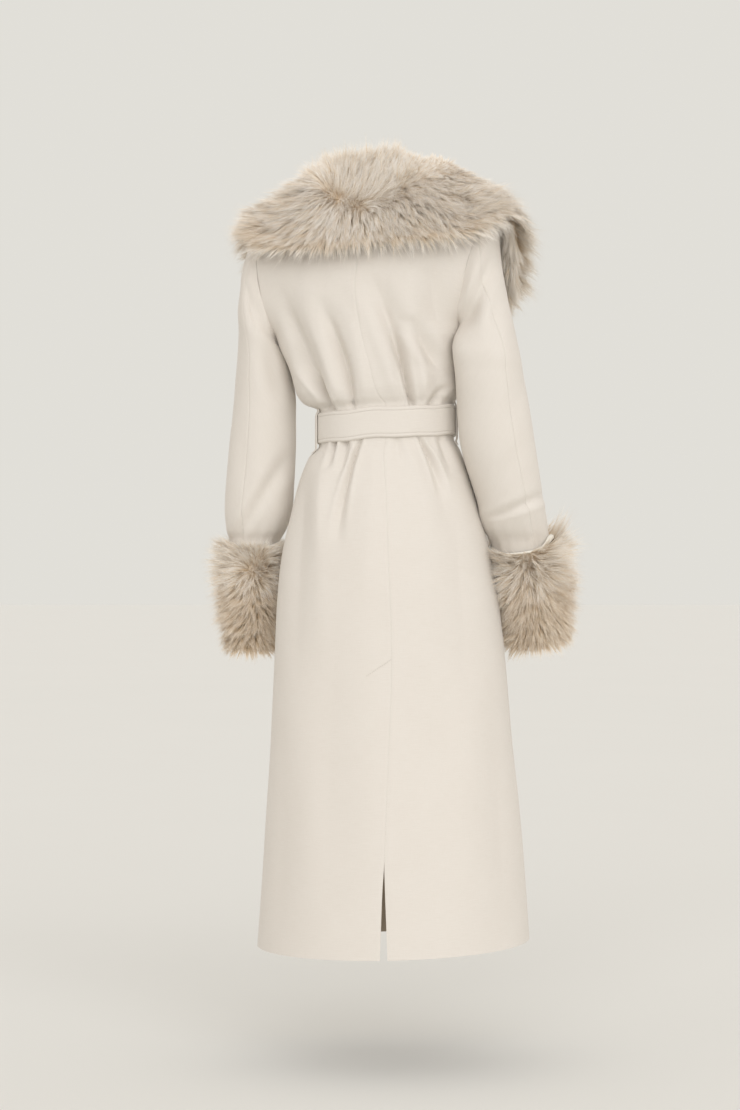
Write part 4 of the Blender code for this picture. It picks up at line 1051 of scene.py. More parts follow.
def skin_material(label, settings):
    """The dense undercoat at the roots."""
    made, nodes, shader = new_material(label)
    wisps = streaks(nodes, across=700.0, along=120.0, detail=3.0)
    nodes.fill(shader, {
        "Base Color": ramp(nodes, wisps, [(0.25, settings.root_colour), (0.60, settings.hair_colour)]),
        "Roughness": nodes.between(wisps, 0.85, 0.95),
        "Normal": bumps(nodes, wisps, strength=0.8, distance=0.002),
    })
    return made


FUR_INPUTS = {
    "Geometry": "Geometry", "Hairs per square metre": "Float", "Hair width": "Float", "Lift": "Float",
    "Tip lift": "Float", "Droop": "Float", "Lock size": "Float", "Lock pull": "Float", "Lock spread": "Float",
    "Frizz": "Float", "Wander": "Float", "Seed": "Int", "Finish": "Material",
}
HAIR_SEGMENTS, TIP_FROM = 2, 0.49  # parts of a hair's blade, and from where its end is drawn into a point
LOCK_LEVELS = ((1.0, 0.8), (2.6, 0.5))  # wisps and tufts: their size in locks, and how strongly they draw
WANDER_LEVELS = ((24.0, 1.5), (85.0, 1.1))  # how the comb wanders: turns in a metre, and their weight
HAIR_LENGTHS, HAIR_EVEN = (0.54, 1.10), 0.5  # shortest and longest hair in the pelt's length, and the spread
LOCK_LONGER = 0.36  # how much the length varies by locks
GUARD_FROM = 0.90  # chance above which a hair is a guard hair, which is longer, wider and darker
GUARD_LONGER, GUARD_WIDER, GUARD_TINT = 0.16, 0.25, -0.8
CHANCE_TINT, CLOUD_TINT, LOCK_TINT = (-0.25, 0.25), (-0.5, 0.5), 0.45  # how the tint varies
CLOUD_SCALE = 40.0  # clouds of tint in a metre
MAP_PART = (0.02, 0.98)  # part of the hair's map that is used
PULL_POWER = 1.4  # how late along a hair its lock closes
BLADE_TURN, BLADE_END = 0.45, 1.06  # how far blades turn from their plane, and where they would taper out
STRAY_SEED = 7.0  # what is added to the seed for the strays


def fur_tree():
    """Hairs scattered over a skin, each bent from the skin's normal into the comb and drawn into locks."""
    f, given = new_tree("Fur hairs", FUR_INPUTS)
    position = f.result("GeometryNodeInputPosition")
    density = f.times(given["Hairs per square metre"], f.named("share"))
    scatter = f.node("GeometryNodeDistributePointsOnFaces", {
        "Mesh": given["Geometry"], "Density": density, "Seed": given["Seed"],
    }, distribute_method="RANDOM").outputs
    chance = f.node("FunctionNodeRandomValue", {"Seed": given["Seed"]}, data_type="FLOAT").outputs[1]
    stray = f.result("FunctionNodeRandomValue", {
        0: (-1, -1, -1), "Seed": f.maths("ADD", given["Seed"], STRAY_SEED)}, data_type="FLOAT_VECTOR")
    roots = f.store(scatter["Points"], "root", position, "FLOAT_VECTOR")
    roots = f.store(roots, "out", scatter["Normal"], "FLOAT_VECTOR")
    roots = f.store(f.store(roots, "chance", chance), "stray", stray, "FLOAT_VECTOR")

    blade = f.result("GeometryNodeMeshGrid", {
        "Size X": 1.0, "Size Y": 1.0, "Vertices X": 2, "Vertices Y": HAIR_SEGMENTS + 1})
    drawn = f.joined(f.maths("LESS_THAN", f.split(position)[1], TIP_FROM), 1.0)
    pointed = f.vectors("MULTIPLY", position, drawn)
    blade = f.result("GeometryNodeSetPosition", {"Geometry": blade, "Position": pointed})
    blade = f.result("GeometryNodeMergeByDistance", {"Geometry": blade})
    blade = f.store(blade, "blade", f.add(position, (0, 0.5, 0)), "FLOAT_VECTOR")
    copies = f.result("GeometryNodeInstanceOnPoints", {"Points": roots, "Instance": blade})
    hairs = f.result("GeometryNodeRealizeInstances", {"Geometry": copies})

    root, out, comb, bent, spot = (
        f.named(name, "FLOAT_VECTOR") for name in ("root", "out", "comb", "stray", "blade"))
    across, rise, _ = f.split(spot)
    luck = f.named("chance")
    lock, pull = None, None
    for size, weight in LOCK_LEVELS:
        cell_scale = f.maths("DIVIDE", 1.0 / size, given["Lock size"])
        cells = f.node("ShaderNodeTexVoronoi", {"Vector": root, "Scale": cell_scale}).outputs
        own = f.scaled(f.less(cells["Color"], (0.5, 0.5, 0.5)), weight)
        towards = f.scaled(f.less(cells["Position"], root), weight)
        lock = f.add(lock, own) if lock else own
        pull = f.add(pull, towards) if pull else towards
    lock_length, lock_tint, _ = f.split(lock)
    guard = f.maths("GREATER_THAN", luck, GUARD_FROM)
    reach = f.between(f.maths("POWER", luck, HAIR_EVEN), *HAIR_LENGTHS)
    reach = f.fused(guard, GUARD_LONGER, reach)
    reach = f.times(reach, f.fused(lock_length, LOCK_LONGER, 1.0))
    reach = f.times(f.named("length"), reach)
    comb = f.add(comb, f.scaled(lock, given["Lock spread"]))
    for scale, weight in WANDER_LEVELS:
        wander = f.less(f.noise(root, scale, 1.0, "Color"), (0.5, 0.5, 0.5))
        comb = f.add(comb, f.scaled(wander, f.times(given["Wander"], weight)))
    start = f.levelled(f.add(f.scaled(out, given["Lift"]), comb))
    end = f.add(comb, f.scaled(out, given["Tip lift"]))
    end = f.add(end, f.joined(0.0, 0.0, f.times(given["Droop"], -1.0)))
    end = f.levelled(f.add(end, f.scaled(bent, given["Frizz"])))
    curve = f.scaled(f.less(end, start), f.times(rise, 0.5))
    line = f.scaled(f.add(start, curve), f.times(rise, reach))

    pull = f.less(pull, f.scaled(out, f.vectors("DOT_PRODUCT", pull, out)))
    pull = f.scaled(pull, f.times(given["Lock pull"], f.maths("POWER", rise, PULL_POWER)))
    sideways = f.add(out, f.scaled(bent, BLADE_TURN))
    sideways = f.levelled(f.vectors("CROSS_PRODUCT", end, sideways))
    taper = f.times(f.maths("SUBTRACT", BLADE_END, rise), given["Hair width"])
    taper = f.times(taper, f.fused(guard, GUARD_WIDER, 1.0))
    sideways = f.scaled(sideways, f.times(across, taper))
    place = root
    for part in (line, pull, sideways):
        place = f.add(place, part)
    moved = f.result("GeometryNodeSetPosition", {"Geometry": hairs, "Position": place})

    tint = f.maths("ADD", f.named("tint"), f.between(luck, *CHANCE_TINT))
    cloud = f.between(f.noise(root, CLOUD_SCALE, 1.0), *CLOUD_TINT)
    tint = f.fused(lock_tint, LOCK_TINT, f.maths("ADD", tint, cloud))
    tint = f.fused(guard, GUARD_TINT, tint)
    tint = f.maths("MINIMUM", f.maths("MAXIMUM", tint, MAP_PART[0]), MAP_PART[1])
    pair = f.joined(tint, f.between(rise, *MAP_PART))
    return f.close(f.store(moved, HAIR_MAP, pair, "FLOAT2", "CORNER"), given["Finish"])


STITCH_INPUTS = {
    "Geometry": "Geometry", "Pitch": "Float", "Length": "Float", "Width": "Float", "Finish": "Material"}


def stitch_tree():
    """Short stitches along lines, one for each pitch."""
    f, given = new_tree("Stitches", STITCH_INPUTS)
    line = f.result("GeometryNodeMeshToCurve", {"Mesh": given["Geometry"]})
    even = f.result("GeometryNodeResampleCurve", {"Curve": line, "Length": given["Pitch"]}, mode="LENGTH")
    ball = f.node("GeometryNodeMeshUVSphere", {"Segments": 5, "Rings": 3, "Radius": 0.5}).outputs
    along = f.result("GeometryNodeInputTangent")
    copies = f.result("GeometryNodeInstanceOnPoints", {
        "Points": even,
        "Instance": f.store(ball["Mesh"], WEAVE_MAP, ball["UV Map"], "FLOAT2", "CORNER"),
        "Rotation": f.result("FunctionNodeAlignRotationToVector", {"Vector": along}, axis="X"),
        "Scale": f.joined(given["Length"], given["Width"], given["Width"]),
    })
    return f.close(f.result("GeometryNodeRealizeInstances", {"Geometry": copies}), given["Finish"])


def by_nodes(name, mesh, tree, values):
    """A plain mesh piece from a mesh with a node tree on it; values are the tree's inputs by name."""
    source = new_object(name + "_source", mesh)
    modifier = source.modifiers.new("nodes", "NODES")
    modifier.node_group = tree
    for socket in tree.interface.items_tree:
        if socket.in_out == "INPUT" and socket.name in values:
            modifier[socket.identifier] = values[socket.name]
    graph = bpy.context.evaluated_depsgraph_get()
    made = bpy.data.meshes.new_from_object(
        source.evaluated_get(graph), preserve_all_data_layers=True, depsgraph=graph)
    made.name = name
    source.modifiers.remove(modifier)
    bpy.data.objects.remove(source)
    return new_object(name, made)


# What a user would change

def a_colour(label, description, default):
    return FloatVectorProperty(
        name=label, description=description, subtype="COLOR", default=default, min=0, max=1)


def a_length(label, description, default):
    return FloatProperty(name=label, description=description, subtype="DISTANCE", default=default)


def an_amount(label, description, default):
    return FloatProperty(name=label, description=description, default=default, min=0)


class CoatWool(bpy.types.PropertyGroup):
    """The wool coating."""

    colour: a_colour("Colour", "Pale yarns", (0.735, 0.690, 0.633))
    shade_colour: a_colour("Shade", "Darker yarns", (0.675, 0.624, 0.560))
    # painted shade: the inside's tan is darkened for the shade inside the coat
    inside_colour: a_colour("Inside", "Wrong side of the body", (0.42, 0.34, 0.255))
    satin_colour: a_colour("Satin", "Rolled edge of the cuffs", (0.83, 0.80, 0.72))
    twill_pitch: a_length("Twill pitch", "Width of one twill rib", 0.0011)


class CoatFur(bpy.types.PropertyGroup):
    """The fur of the collar and the cuffs."""

    root_colour: a_colour("Root", "Hair at the skin", (0.745, 0.592, 0.408))
    hair_colour: a_colour("Length", "Middle of the hair", (0.897, 0.820, 0.713))
    tip_colour: a_colour("Tip", "Pale ends", (0.955, 0.920, 0.868))
    guard_colour: a_colour("Guard hair", "Darkest hair", (0.445, 0.318, 0.185))
    collar_density: an_amount("Collar hairs", "Hairs per square metre of collar", 720000)
    cuff_density: an_amount("Cuff hairs", "Hairs per square metre of cuff", 640000)
    width: a_length("Hair width", "Width of a hair at its root", 0.00068)
    length: an_amount("Hair length", "Length of a hair for each unit of the fur's height", 1.45)
    lock: a_length("Lock", "Size of the locks that hairs gather into", 0.0058)
    seed: IntProperty(name="Seed", description="Scatter of the hairs", default=11)


class CoatStage(bpy.types.PropertyGroup):
    """Floor, light and camera."""

    backdrop: a_colour("Backdrop", "Colour all round", (0.755, 0.738, 0.690))
    around: a_colour("Light all round", "Light from all sides", (0.781, 0.7515, 0.717))
    floor_colour: a_colour("Floor", "Colour of the floor", (0.800, 0.792, 0.752))
    floor_height: a_length("Floor height", "Height of the floor", -1.57)
    key: an_amount("Key light", "Strength of the main light", 1.78)
    fill: an_amount("Fill light", "Strength of the light from the front", 0.10)


# Building

Finish = namedtuple("Finish", "label make group")
FINISHES = {
    "wool": Finish("ivory wool", wool_material, "coat_wool"),
    # the inside's finish carries painted shade: a tan darkened for the shade inside the coat
    "inside": Finish("coat inside", inside_shaded_material, "coat_wool"),
    "thread": Finish("sewing thread", thread_material, "coat_wool"),
    "satin": Finish("cream satin", satin_material, "coat_wool"),
    "fur": Finish("greige fur", fur_material, "coat_fur"),
    "undercoat": Finish("fur undercoat", skin_material, "coat_fur"),
}


def finish(kind):
    """A material, made when it is first asked for."""
    label, make, group = FINISHES[kind]
    return bpy.data.materials.get(label) or make(label, getattr(bpy.context.scene, group))


def seat(piece, slot, *nodes):
    """Puts a piece on the coat's one body and in place of the nodes it stands for; the slot is not used."""
    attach(piece, "root")
    if nodes:
        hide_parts(*nodes)
    return piece


Cut = namedtuple("Cut", "width length area")  # a sheet's cut as it shows, in metres and square metres


class COAT_OT_panels(bpy.types.Operator):
    """Cuts the backs, the fronts and the two-piece sleeves from wool"""

    bl_idname = "coat.panels"
    bl_label = "Panels and sleeves"

    def execute(self, context):
        for node, (outer, inner) in cloth_walls().items():
            kind, side, *half = node.split("_")
            kinds = ("wool",) if half else ("wool", "inside")
            piece = seat(shell(node + "_cloth", outer, inner, *kinds), "wool", node)
        return {"FINISHED"}


def strip_shares(width):
    """Shares across a strip from edge to edge, close together at its edges and its lines of stitching."""
    half = np.array(STRIP_LINES)
    return np.concatenate([half / width - 0.5, [0.0], 0.5 - half[::-1] / width])


def strip_face(shares, width):
    """The height of a strip's face: its edges are turned in and its stitching draws it down."""
    from_edge = (0.5 - np.abs(shares)) * width
    face = BELT_THICKNESS * (1 - STRIP_TURN * np.exp(-((from_edge / STRIP_SOFT) ** 2)))
    return face - STITCH_SINK * np.exp(-(((from_edge - BELT_STITCH) / STITCH_SOFT) ** 2))


def belt_line(up, out):
    """A line round the belt, by its share of the width from the middle and its height over the cloth."""
    turns = around(BELT_SIDES)
    rise = sum(wave.height * np.sin(wave.count * turns + wave.phase) for wave in BELT_WAVES)
    swell = BELT_SWELL.height * (1 + np.sin(BELT_SWELL.count * turns + BELT_SWELL.phase)) * (out > 0)
    ring = waist_ring(BELT_HEIGHT, BELT_EASE + out, turns)
    ring += unit(ring * (1, 1, 0)) * swell[:, None]
    ring[:, 2] += up * BELT_WIDTH + rise
    return pose(ring)


def belt_rings():
    """The belt as closed sections round the waist, with its edges rounded and the stitching drawn in."""
    ups = strip_shares(BELT_WIDTH)
    section = list(zip(ups, strip_face(ups, BELT_WIDTH))) + [(0.5, 0.0), (0.0, 0.0), (-0.5, 0.0)]
    return np.moveaxis(np.array([belt_line(up, out) for up, out in section]), 0, 1)


def loop_rings(side):
    """A belt loop as sections from its top to its bottom, bowed out over the belt."""
    turn = LOOP_TURN if side == "left" else math.pi - LOOP_TURN
    ends = waist_ring(BELT_HEIGHT, 0.0, turn + np.array([-NEAR, NEAR]))
    over = unit(ends[1] - ends[0]) * hand_of(side)
    rings = []
    for q in np.linspace(0, 1, LOOP_RINGS):
        height = mix(LOOP_TOP, LOOP_BOTTOM, q)
        bow = smoothstep(0, LOOP_BEND, q) * smoothstep(0, LOOP_BEND, 1 - q)
        rest = body_at("half_width", height) - body_at("half_width", BELT_HEIGHT)
        ease = mix(rest + LOOP_EASE, max(rest + LOOP_EASE, BELT_EASE + BELT_THICKNESS + LOOP_EASE), bow)
        ring = []
        for angle in around(LOOP_SIDES):
            across = np.sign(math.cos(angle)) * abs(math.cos(angle)) ** LOOP_SQUARE / 2
            out = 0.5 + np.sign(math.sin(angle)) * abs(math.sin(angle)) ** LOOP_PLUMP / 2
            point = waist_ring(BELT_HEIGHT, float(ease) + out * LOOP_THICKNESS, np.array([turn]))[0]
            ring.append(point + over * across * LOOP_WIDTH + (0, 0, height - BELT_HEIGHT))
        rings.append(ring)
    return pose(np.array(rings))


def knot_rings():
    """The knot: a plump wrap with the folds of the end that is drawn through it."""
    turns = around(KNOT_SIDES)
    behind = belt_face() - SEAM
    across = np.sign(np.cos(turns)) * np.abs(np.cos(turns)) ** KNOT_SQUARE
    front = np.maximum(0, -np.sin(turns))
    rings = []
    for q in np.linspace(-1, 1, KNOT_RINGS):
        swell = (1 - abs(q) ** 3 * KNOT_TAPER) ** 0.5
        bulge = front**KNOT_PLUMP * KNOT_DEPTH * swell
        deep = 0
        for crease in KNOT_CREASES:
            off = (across - crease.slant * q - crease.beside) / crease.width
            deep = deep + crease.share * np.exp(-(off**2))
        bulge = bulge - CREASE_DEPTH * deep * smoothstep(*CREASE_FROM, front)
        x = KNOT_X + KNOT_WIDTH / 2 * swell * across
        curve = body_at("front", BELT_HEIGHT) * (1 - np.sqrt(1 - (x / KNOT_BEND) ** 2))
        z = np.full_like(turns, BELT_HEIGHT + q * KNOT_HEIGHT / 2)
        rings.append(np.stack([x, behind + curve - bulge, z], axis=-1))
    return pose(np.array(rings))


def tail_walls(side):
    """Outer and inner points of a free end of the belt, which hangs from the knot over the front."""
    tail = TAILS[side]
    behind = belt_face()
    outer, inner = [], []
    shares = strip_shares(TAIL_WIDTH)
    face = strip_face(shares, TAIL_WIDTH)
    for q in np.linspace(1, 0, TAIL_ROWS):
        height = BELT_HEIGHT - KNOT_HEIGHT / 2 - SEAM - q * tail.length
        xs = KNOT_X + mix(tail.start, tail.end, q) + shares * TAIL_WIDTH
        base = np.array([min(front_y(x, height), behind + TAIL_BEND * x * x) - tail.lift for x in xs])
        ripple = TAIL_RIPPLE * np.sin(RIPPLES_DOWN * q + RIPPLES_ACROSS * xs) * smoothstep(0, RIPPLE_FROM, q)
        base = base + BELT_THICKNESS - ripple
        outer.append(np.stack([xs, base - face, np.full_like(xs, height)], axis=-1))
        inner.append(np.stack([xs, base, np.full_like(xs, height)], axis=-1))
    return pose(np.array(outer)), pose(np.array(inner))


class COAT_OT_belt(bpy.types.Operator):
    """Makes the tie belt, its knot and free ends, and the belt loops"""

    bl_idname = "coat.belt"
    bl_label = "Belt and loops"

    def execute(self, context):
        band = seat(tube("belt_cloth", belt_rings(), "wool", closed=True), "wool", "belt")
        seat(tube("belt_knot_cloth", knot_rings(), "wool"), "wool", "belt_knot")
        for side in SIDES:
            tail, loop = f"belt_tail_{side}", f"belt_loop_{side}"
            end = seat(shell(tail + "_cloth", *tail_walls(side), "wool"), "wool", tail)
            seat(tube(loop + "_cloth", loop_rings(side), "wool"), "wool", loop)
        return {"FINISHED"}


@cache
def cloth_below():
    """A search tree of the outer faces of the panels and sleeves, for what lies on them."""
    points, faces = [], []
    for outer, inner in cloth_walls().values():
        flip = turned_in(outer, inner)
        faces += (grid_faces(*outer.shape[:2], flip=flip) + len(points)).tolist()
        points += outer.reshape(-1, 3).tolist()
    return BVHTree.FromPolygons(points, faces)


def stitch_lines():
    """The lines that are sewn through, each as points and whether it closes."""
    share = 0.5 - BELT_STITCH / BELT_WIDTH
    sunk = float(strip_face(np.array([share]), BELT_WIDTH)[0]) + STITCH_WIDTH / 4
    lines = [(belt_line(up, sunk), True) for up in (-share, share)]
    column = int(np.argmin(np.abs(strip_shares(TAIL_WIDTH) - BELT_STITCH / TAIL_WIDTH + 0.5)))
    for side in SIDES:
        outer, _ = tail_walls(side)
        sewn = [outer[1:, column], outer[1:, -1 - column], outer[1, column:-column]]
        rings = loop_rings(side)
        sewn += [rings[tack, LOOP_FACE] for tack in LOOP_TACKS]
        lines += [(line, False) for line in sewn]
    for lift in TACK_ROWS:
        row = [Vector((x, 1, z + lift)) for x, z in np.linspace(*VENT_TACK, TACK_STEPS)]
        lines.append((np.array([cloth_below().ray_cast(spot, Vector((0, -1, 0)))[0] for spot in row]), False))
    return lines


class COAT_OT_stitching(bpy.types.Operator):
    """Sews the belt, its free ends, the loops and the top of the vent"""

    bl_idname = "coat.stitching"
    bl_label = "Stitching"

    def execute(self, context):
        points, edges = [], []
        for line, closes in stitch_lines():
            first = len(points)
            points += line.tolist()
            edges += [(i, i + 1) for i in range(first, len(points) - 1)]
            if closes:
                edges.append((len(points) - 1, first))
        mesh = bpy.data.meshes.new("stitch lines")
        mesh.from_pydata(points, edges, [])
        tree = bpy.data.node_groups.get("Stitches") or stitch_tree()
        seat(by_nodes("stitching", mesh, tree, {
            "Pitch": STITCH_PITCH, "Length": STITCH_LENGTH, "Width": STITCH_WIDTH, "Finish": finish("thread"),
        }), "wool")
        return {"FINISHED"}


# Fur

Pelt = namedtuple("Pelt", "points comb length tint share")
HAIR_ATTRIBUTES = ("root", "out", "comb", "length", "tint", "share", "chance", "stray", "blade")
SKIN_THICKNESS = 0.002


def grow(name, pelt, side, density, width, seed, habit):
    """The hair of a pelt, as one piece; habit is how it grows, by the tree's inputs."""
    mesh = bpy.data.meshes.new(name + "_pelt")
    faces = grid_faces(*pelt.points.shape[:2], flip=side == "left")
    mesh.from_pydata(pelt.points.reshape(-1, 3).tolist(), [], faces.tolist())
    for key in Pelt._fields[1:]:
        kind, part = ("FLOAT_VECTOR", "vector") if key == "comb" else ("FLOAT", "value")
        field = mesh.attributes.new(key, kind, "POINT")
        field.data.foreach_set(part, np.ravel(getattr(pelt, key)).astype(np.float32))
    tree = bpy.data.node_groups.get("Fur hairs") or fur_tree()
    piece = by_nodes(name, mesh, tree, {
        "Hairs per square metre": density, "Hair width": width, "Seed": seed, "Finish": finish("fur"),
        "Lock size": bpy.context.scene.coat_fur.lock, **habit})
    for key in HAIR_ATTRIBUTES:
        field = piece.data.attributes.get(key)
        if field:
            piece.data.attributes.remove(field)
    return seat(piece, "fur")


COLLAR_HABIT = {
    "Lift": 1.25, "Tip lift": 0.50, "Droop": 0.30, "Lock spread": 0.75, "Lock pull": 0.66, "Frizz": 0.34,
    "Wander": 0.9}
SEAT_SHORT, SEAT_TO = 0.85, (0.2, 0.6)  # how short the hair is at the seat, and where it has its length
UNDER_ROWS, UNDER_SHOWS = 8, (0.75, 0.95)  # rows of hair under the free edge, and where it begins
UNDER_LENGTH = (0.8, 0.45)  # how long that hair is at the edge and further in
FLAT = {"left": 0.0, "right": 0.5}  # how much shorter the hair on the roll is beside the neck
FLAT_FROM, FLAT_TO = (0.30, 0.50), (0.95, 1.10)  # places where that begins and ends
FLAT_AT = (0.50, 0.80)  # where it ends along the skin
LAPEL_LENGTH, LAPEL_SHORTENS = 0.74, (1.15, 1.45)  # how long the lapels' hair is beside the rest, and where
LAPEL_WIDTH = 1.35  # how wide the hairs of the lapels are beside those of the collar
LAPEL_FROM = 1.02  # place on the neckline where the hair of the lapel begins
LAPEL_SHARE, LAPEL_THINS = 0.23, (1.10, 1.28)  # how thickly hair grows on the lapels, and where it thins
LAPEL_LATER, LAPEL_EDGE = 0.12, (0.80, 1.00)  # how much later it thins at the free edge, and where that is
LAPEL_SWEEP, LAPEL_FANS = 0.35, (0.80, 1.12)  # how far that hair lies along the lapels, and where it fans out
EDGE_HANG = {"left": 0.006, "right": 0.024}  # how much longer the free edge's hair is over the shoulder
HANG_FROM, HANG_TO = (0.60, 0.95), (1.15, 1.40)  # places where that begins and ends
HANG_AT = (0.65, 1.0)  # where it begins along the skin
PART_NAPE, PART_SHOULDER, PART_FROM = 0.78, 0.48, (0.1, 1.0)  # where along the skin the hair parts
PART_UP, PART_SOFT = -0.9, (-0.09, 0.09)  # how far it lies up above the parting, and how soft that is
SHOULDER_SWEEP = 1.05  # how strongly the hair lies outwards at the shoulders
SWIRL_PLACE, SWIRL_REACH = 0.22, 0.40  # the swirl beside the nape: its place towards the left, and its reach
SWIRL_AT, SWIRL_WIDTH = 0.76, 0.22  # where it is along the skin from the seat to the edge, and how wide
SWIRL_SWEEP = 0.40  # how strongly the hair at the centre back lies towards the right
SWIRL_LIGHTENED, SWIRL_SHORT, SWIRL_LIES = 0.45, 0.15, 1.2  # how much paler its hair is, as painted light against the shade where it parts, and how much shorter and flatter
COLLAR_TINT_AND_LIGHT = {"left": 0.55, "right": 0.75}  # tint of the hair on the collar, 1 for the palest; the right half is paler partly as painted light, for the stronger light on that side
UNDER_LIGHTENED_TINT = 1.15  # the same under the free edge, paler as painted light against the shade there
EDGE_SHADE_BROWN = 0.32  # how much browner the hair along the back's free edge is: painted shade, for the warm shade under that edge
EDGE_SHADE_BROWN_AT, EDGE_SHADE_BROWN_TO = (0.82, 0.97), (0.85, 1.05)  # where that is along the skin, and where it ends
END_FROM, END_LONGER = 1.86, 1.1  # place where the hair of a lapel's end begins, and how much longer it grows


def swirl_of(skin, side):
    """How much of the swirl beside the nape is on the skin, 1 in its middle."""
    beside = (skin.places * hand_of(side) - SWIRL_PLACE) / SWIRL_REACH
    beyond = (skin.along - SWIRL_AT) / SWIRL_WIDTH
    return np.exp(-(beside**2))[:, None] * np.exp(-(beyond**2))


def comb_collar(skin, side):
    """Which way the hair lies: up on the roll from the swirl, down below it, outwards at the shoulders."""
    down = unit(np.gradient(skin.points, axis=1))
    away = unit(np.gradient(skin.points, axis=0))
    part = mix(PART_NAPE, PART_SHOULDER, smoothstep(*PART_FROM, skin.places))[:, None]
    fall = mix(PART_UP, 1.0, smoothstep(*PART_SOFT, skin.along[None] - part))[..., None]
    sweep = mix(-SWIRL_SWEEP * hand_of(side), SHOULDER_SWEEP, smoothstep(0.0, 1.0, skin.places))
    sweep = mix(sweep, LAPEL_SWEEP, smoothstep(*LAPEL_FANS, skin.places))[:, None, None]
    way = down * fall + away * sweep
    way = way / np.maximum(1, np.linalg.norm(way, axis=-1, keepdims=True))
    return way * (1 + SWIRL_LIES * swirl_of(skin, side))[..., None]


def collar_length(skin, side, scale):
    """How long the hair is over half the collar."""
    places, along = skin.places[:, None], skin.along
    length = skin.loft * scale * mix(SEAT_SHORT, 1.0, smoothstep(*SEAT_TO, along))
    over = smoothstep(*HANG_FROM, places) * (1 - smoothstep(*HANG_TO, places))
    length = length + EDGE_HANG[side] * over * smoothstep(*HANG_AT, along)
    flat = smoothstep(*FLAT_FROM, places) * (1 - smoothstep(*FLAT_TO, places))
    length = length * (1 - FLAT[side] * flat * (1 - smoothstep(*FLAT_AT, along)))
    length = length * mix(1.0, LAPEL_LENGTH, smoothstep(*LAPEL_SHORTENS, places))
    length = length * (1 - SWIRL_SHORT * swirl_of(skin, side))
    return length * (1 + END_LONGER * smoothstep(END_FROM, 2.0, places))


def collar_pelt(skin, side, scale):
    """Half the collar's pelt, led round the free edge and a little way back under it, where that shows."""
    outer = skin.points + skin.out * SKIN_THICKNESS
    ahead = unit(skin.points[:, -1:] - skin.points[:, -2:-1])
    rim = skin.points[:, -1:] + ahead * SKIN_THICKNESS
    under = (skin.points - skin.out * SKIN_THICKNESS / 2)[:, -2:-2 - UNDER_ROWS:-1]
    points = np.concatenate([outer, rim, under], axis=1)
    comb = comb_collar(skin, side)
    comb = np.concatenate([comb, np.repeat(comb[:, -1:], UNDER_ROWS + 1, axis=1)], axis=1)
    length = collar_length(skin, side, scale)
    beneath = length[:, -1:] * np.linspace(*UNDER_LENGTH, UNDER_ROWS)
    length = np.concatenate([length, length[:, -1:], beneath], axis=1)
    later = skin.places[:, None] - LAPEL_LATER * smoothstep(*LAPEL_EDGE, skin.along)
    share = mix(1.0, LAPEL_SHARE, smoothstep(*LAPEL_THINS, later))
    shown = smoothstep(*UNDER_SHOWS, skin.places)[:, None] * share[:, -1:]
    share = np.concatenate([share, share[:, -1:], np.repeat(shown, UNDER_ROWS, axis=1)], axis=1)
    # painted shade: browner hair along the back's free edge, where shade falls under it
    brown = (1 - smoothstep(*EDGE_SHADE_BROWN_TO, skin.places))[:, None] * smoothstep(*EDGE_SHADE_BROWN_AT, skin.along)
    # painted light: the swirl's hair is paler to offset the shade in the parted hair
    tint = COLLAR_TINT_AND_LIGHT[side] + SWIRL_LIGHTENED * swirl_of(skin, side) - EDGE_SHADE_BROWN * brown
    # painted light: the hair under the free edge is paler to offset its shade
    tint = np.concatenate([tint, np.full((len(points), UNDER_ROWS + 1), UNDER_LIGHTENED_TINT)], axis=1)
    return Pelt(points, comb, length, tint, share)


class COAT_OT_collar(bpy.types.Operator):
    """Makes the fur collar: its skin and the hair on it"""

    bl_idname = "coat.collar"
    bl_label = "Fur collar"

    def execute(self, context):
        settings = context.scene.coat_fur
        for side in SIDES:
            skin = collar_skin(side, cloth_below())
            outer = skin.points + skin.out * SKIN_THICKNESS
            backing = shell(f"collar_{side}_skin", outer, skin.points, "undercoat", "wool")
            seat(backing, "fur", f"collar_{side}")
            pelt = collar_pelt(skin, side, settings.length)
            last = int((skin.places <= LAPEL_FROM).sum())
            parts = {"back": (slice(0, last), 1.0), "lapel": (slice(last - 1, None), LAPEL_WIDTH)}
            hair = [
                grow(f"collar_{side}_fur_{part}", Pelt(*(field[rows] for field in pelt)), side,
                     settings.collar_density, settings.width * wider, settings.seed, COLLAR_HABIT)
                for part, (rows, wider) in parts.items()]
        return {"FINISHED"}


CUFF_HABIT = {
    "Lift": 1.6, "Tip lift": 1.05, "Droop": 0.35, "Lock spread": 1.0, "Lock pull": 0.66, "Frizz": 0.40,
    "Wander": 1.2}
CUFF_FLAT, CUFF_SEED = (0.33, 0.20), 31  # a cuff as it shows, and what its hair's seed is past the collar's
CUFF_SWEEP = 0.55  # how far the hair of a cuff fans out to both sides
# The hair at a cuff's top: how far it is swept up at the sides, what share of that behind, how much longer it
# is outside, how narrowly it is short against the coat, and how long it is at the front
Puff = namedtuple("Puff", "rise behind longer against front")
PUFFS = {
    "left": Puff(1.1, 0.9, 0.000, 4, 0.75),
    "right": Puff(1.7, 0.45, 0.028, 6, 0.9),
}
PUFF_LOW = 0.40  # place along the cuff where the sweep up ends
AGAINST_LENGTH = 0.3  # how long the hair is against the coat
FRONT_SHORT = (-0.8, 0.0)  # sines of the turns between which the hair grows to its length from the front
CUFF_SHARE, FRONT_THIN = 0.42, (-0.6, 0.3)  # how thickly it grows at the front and against the coat

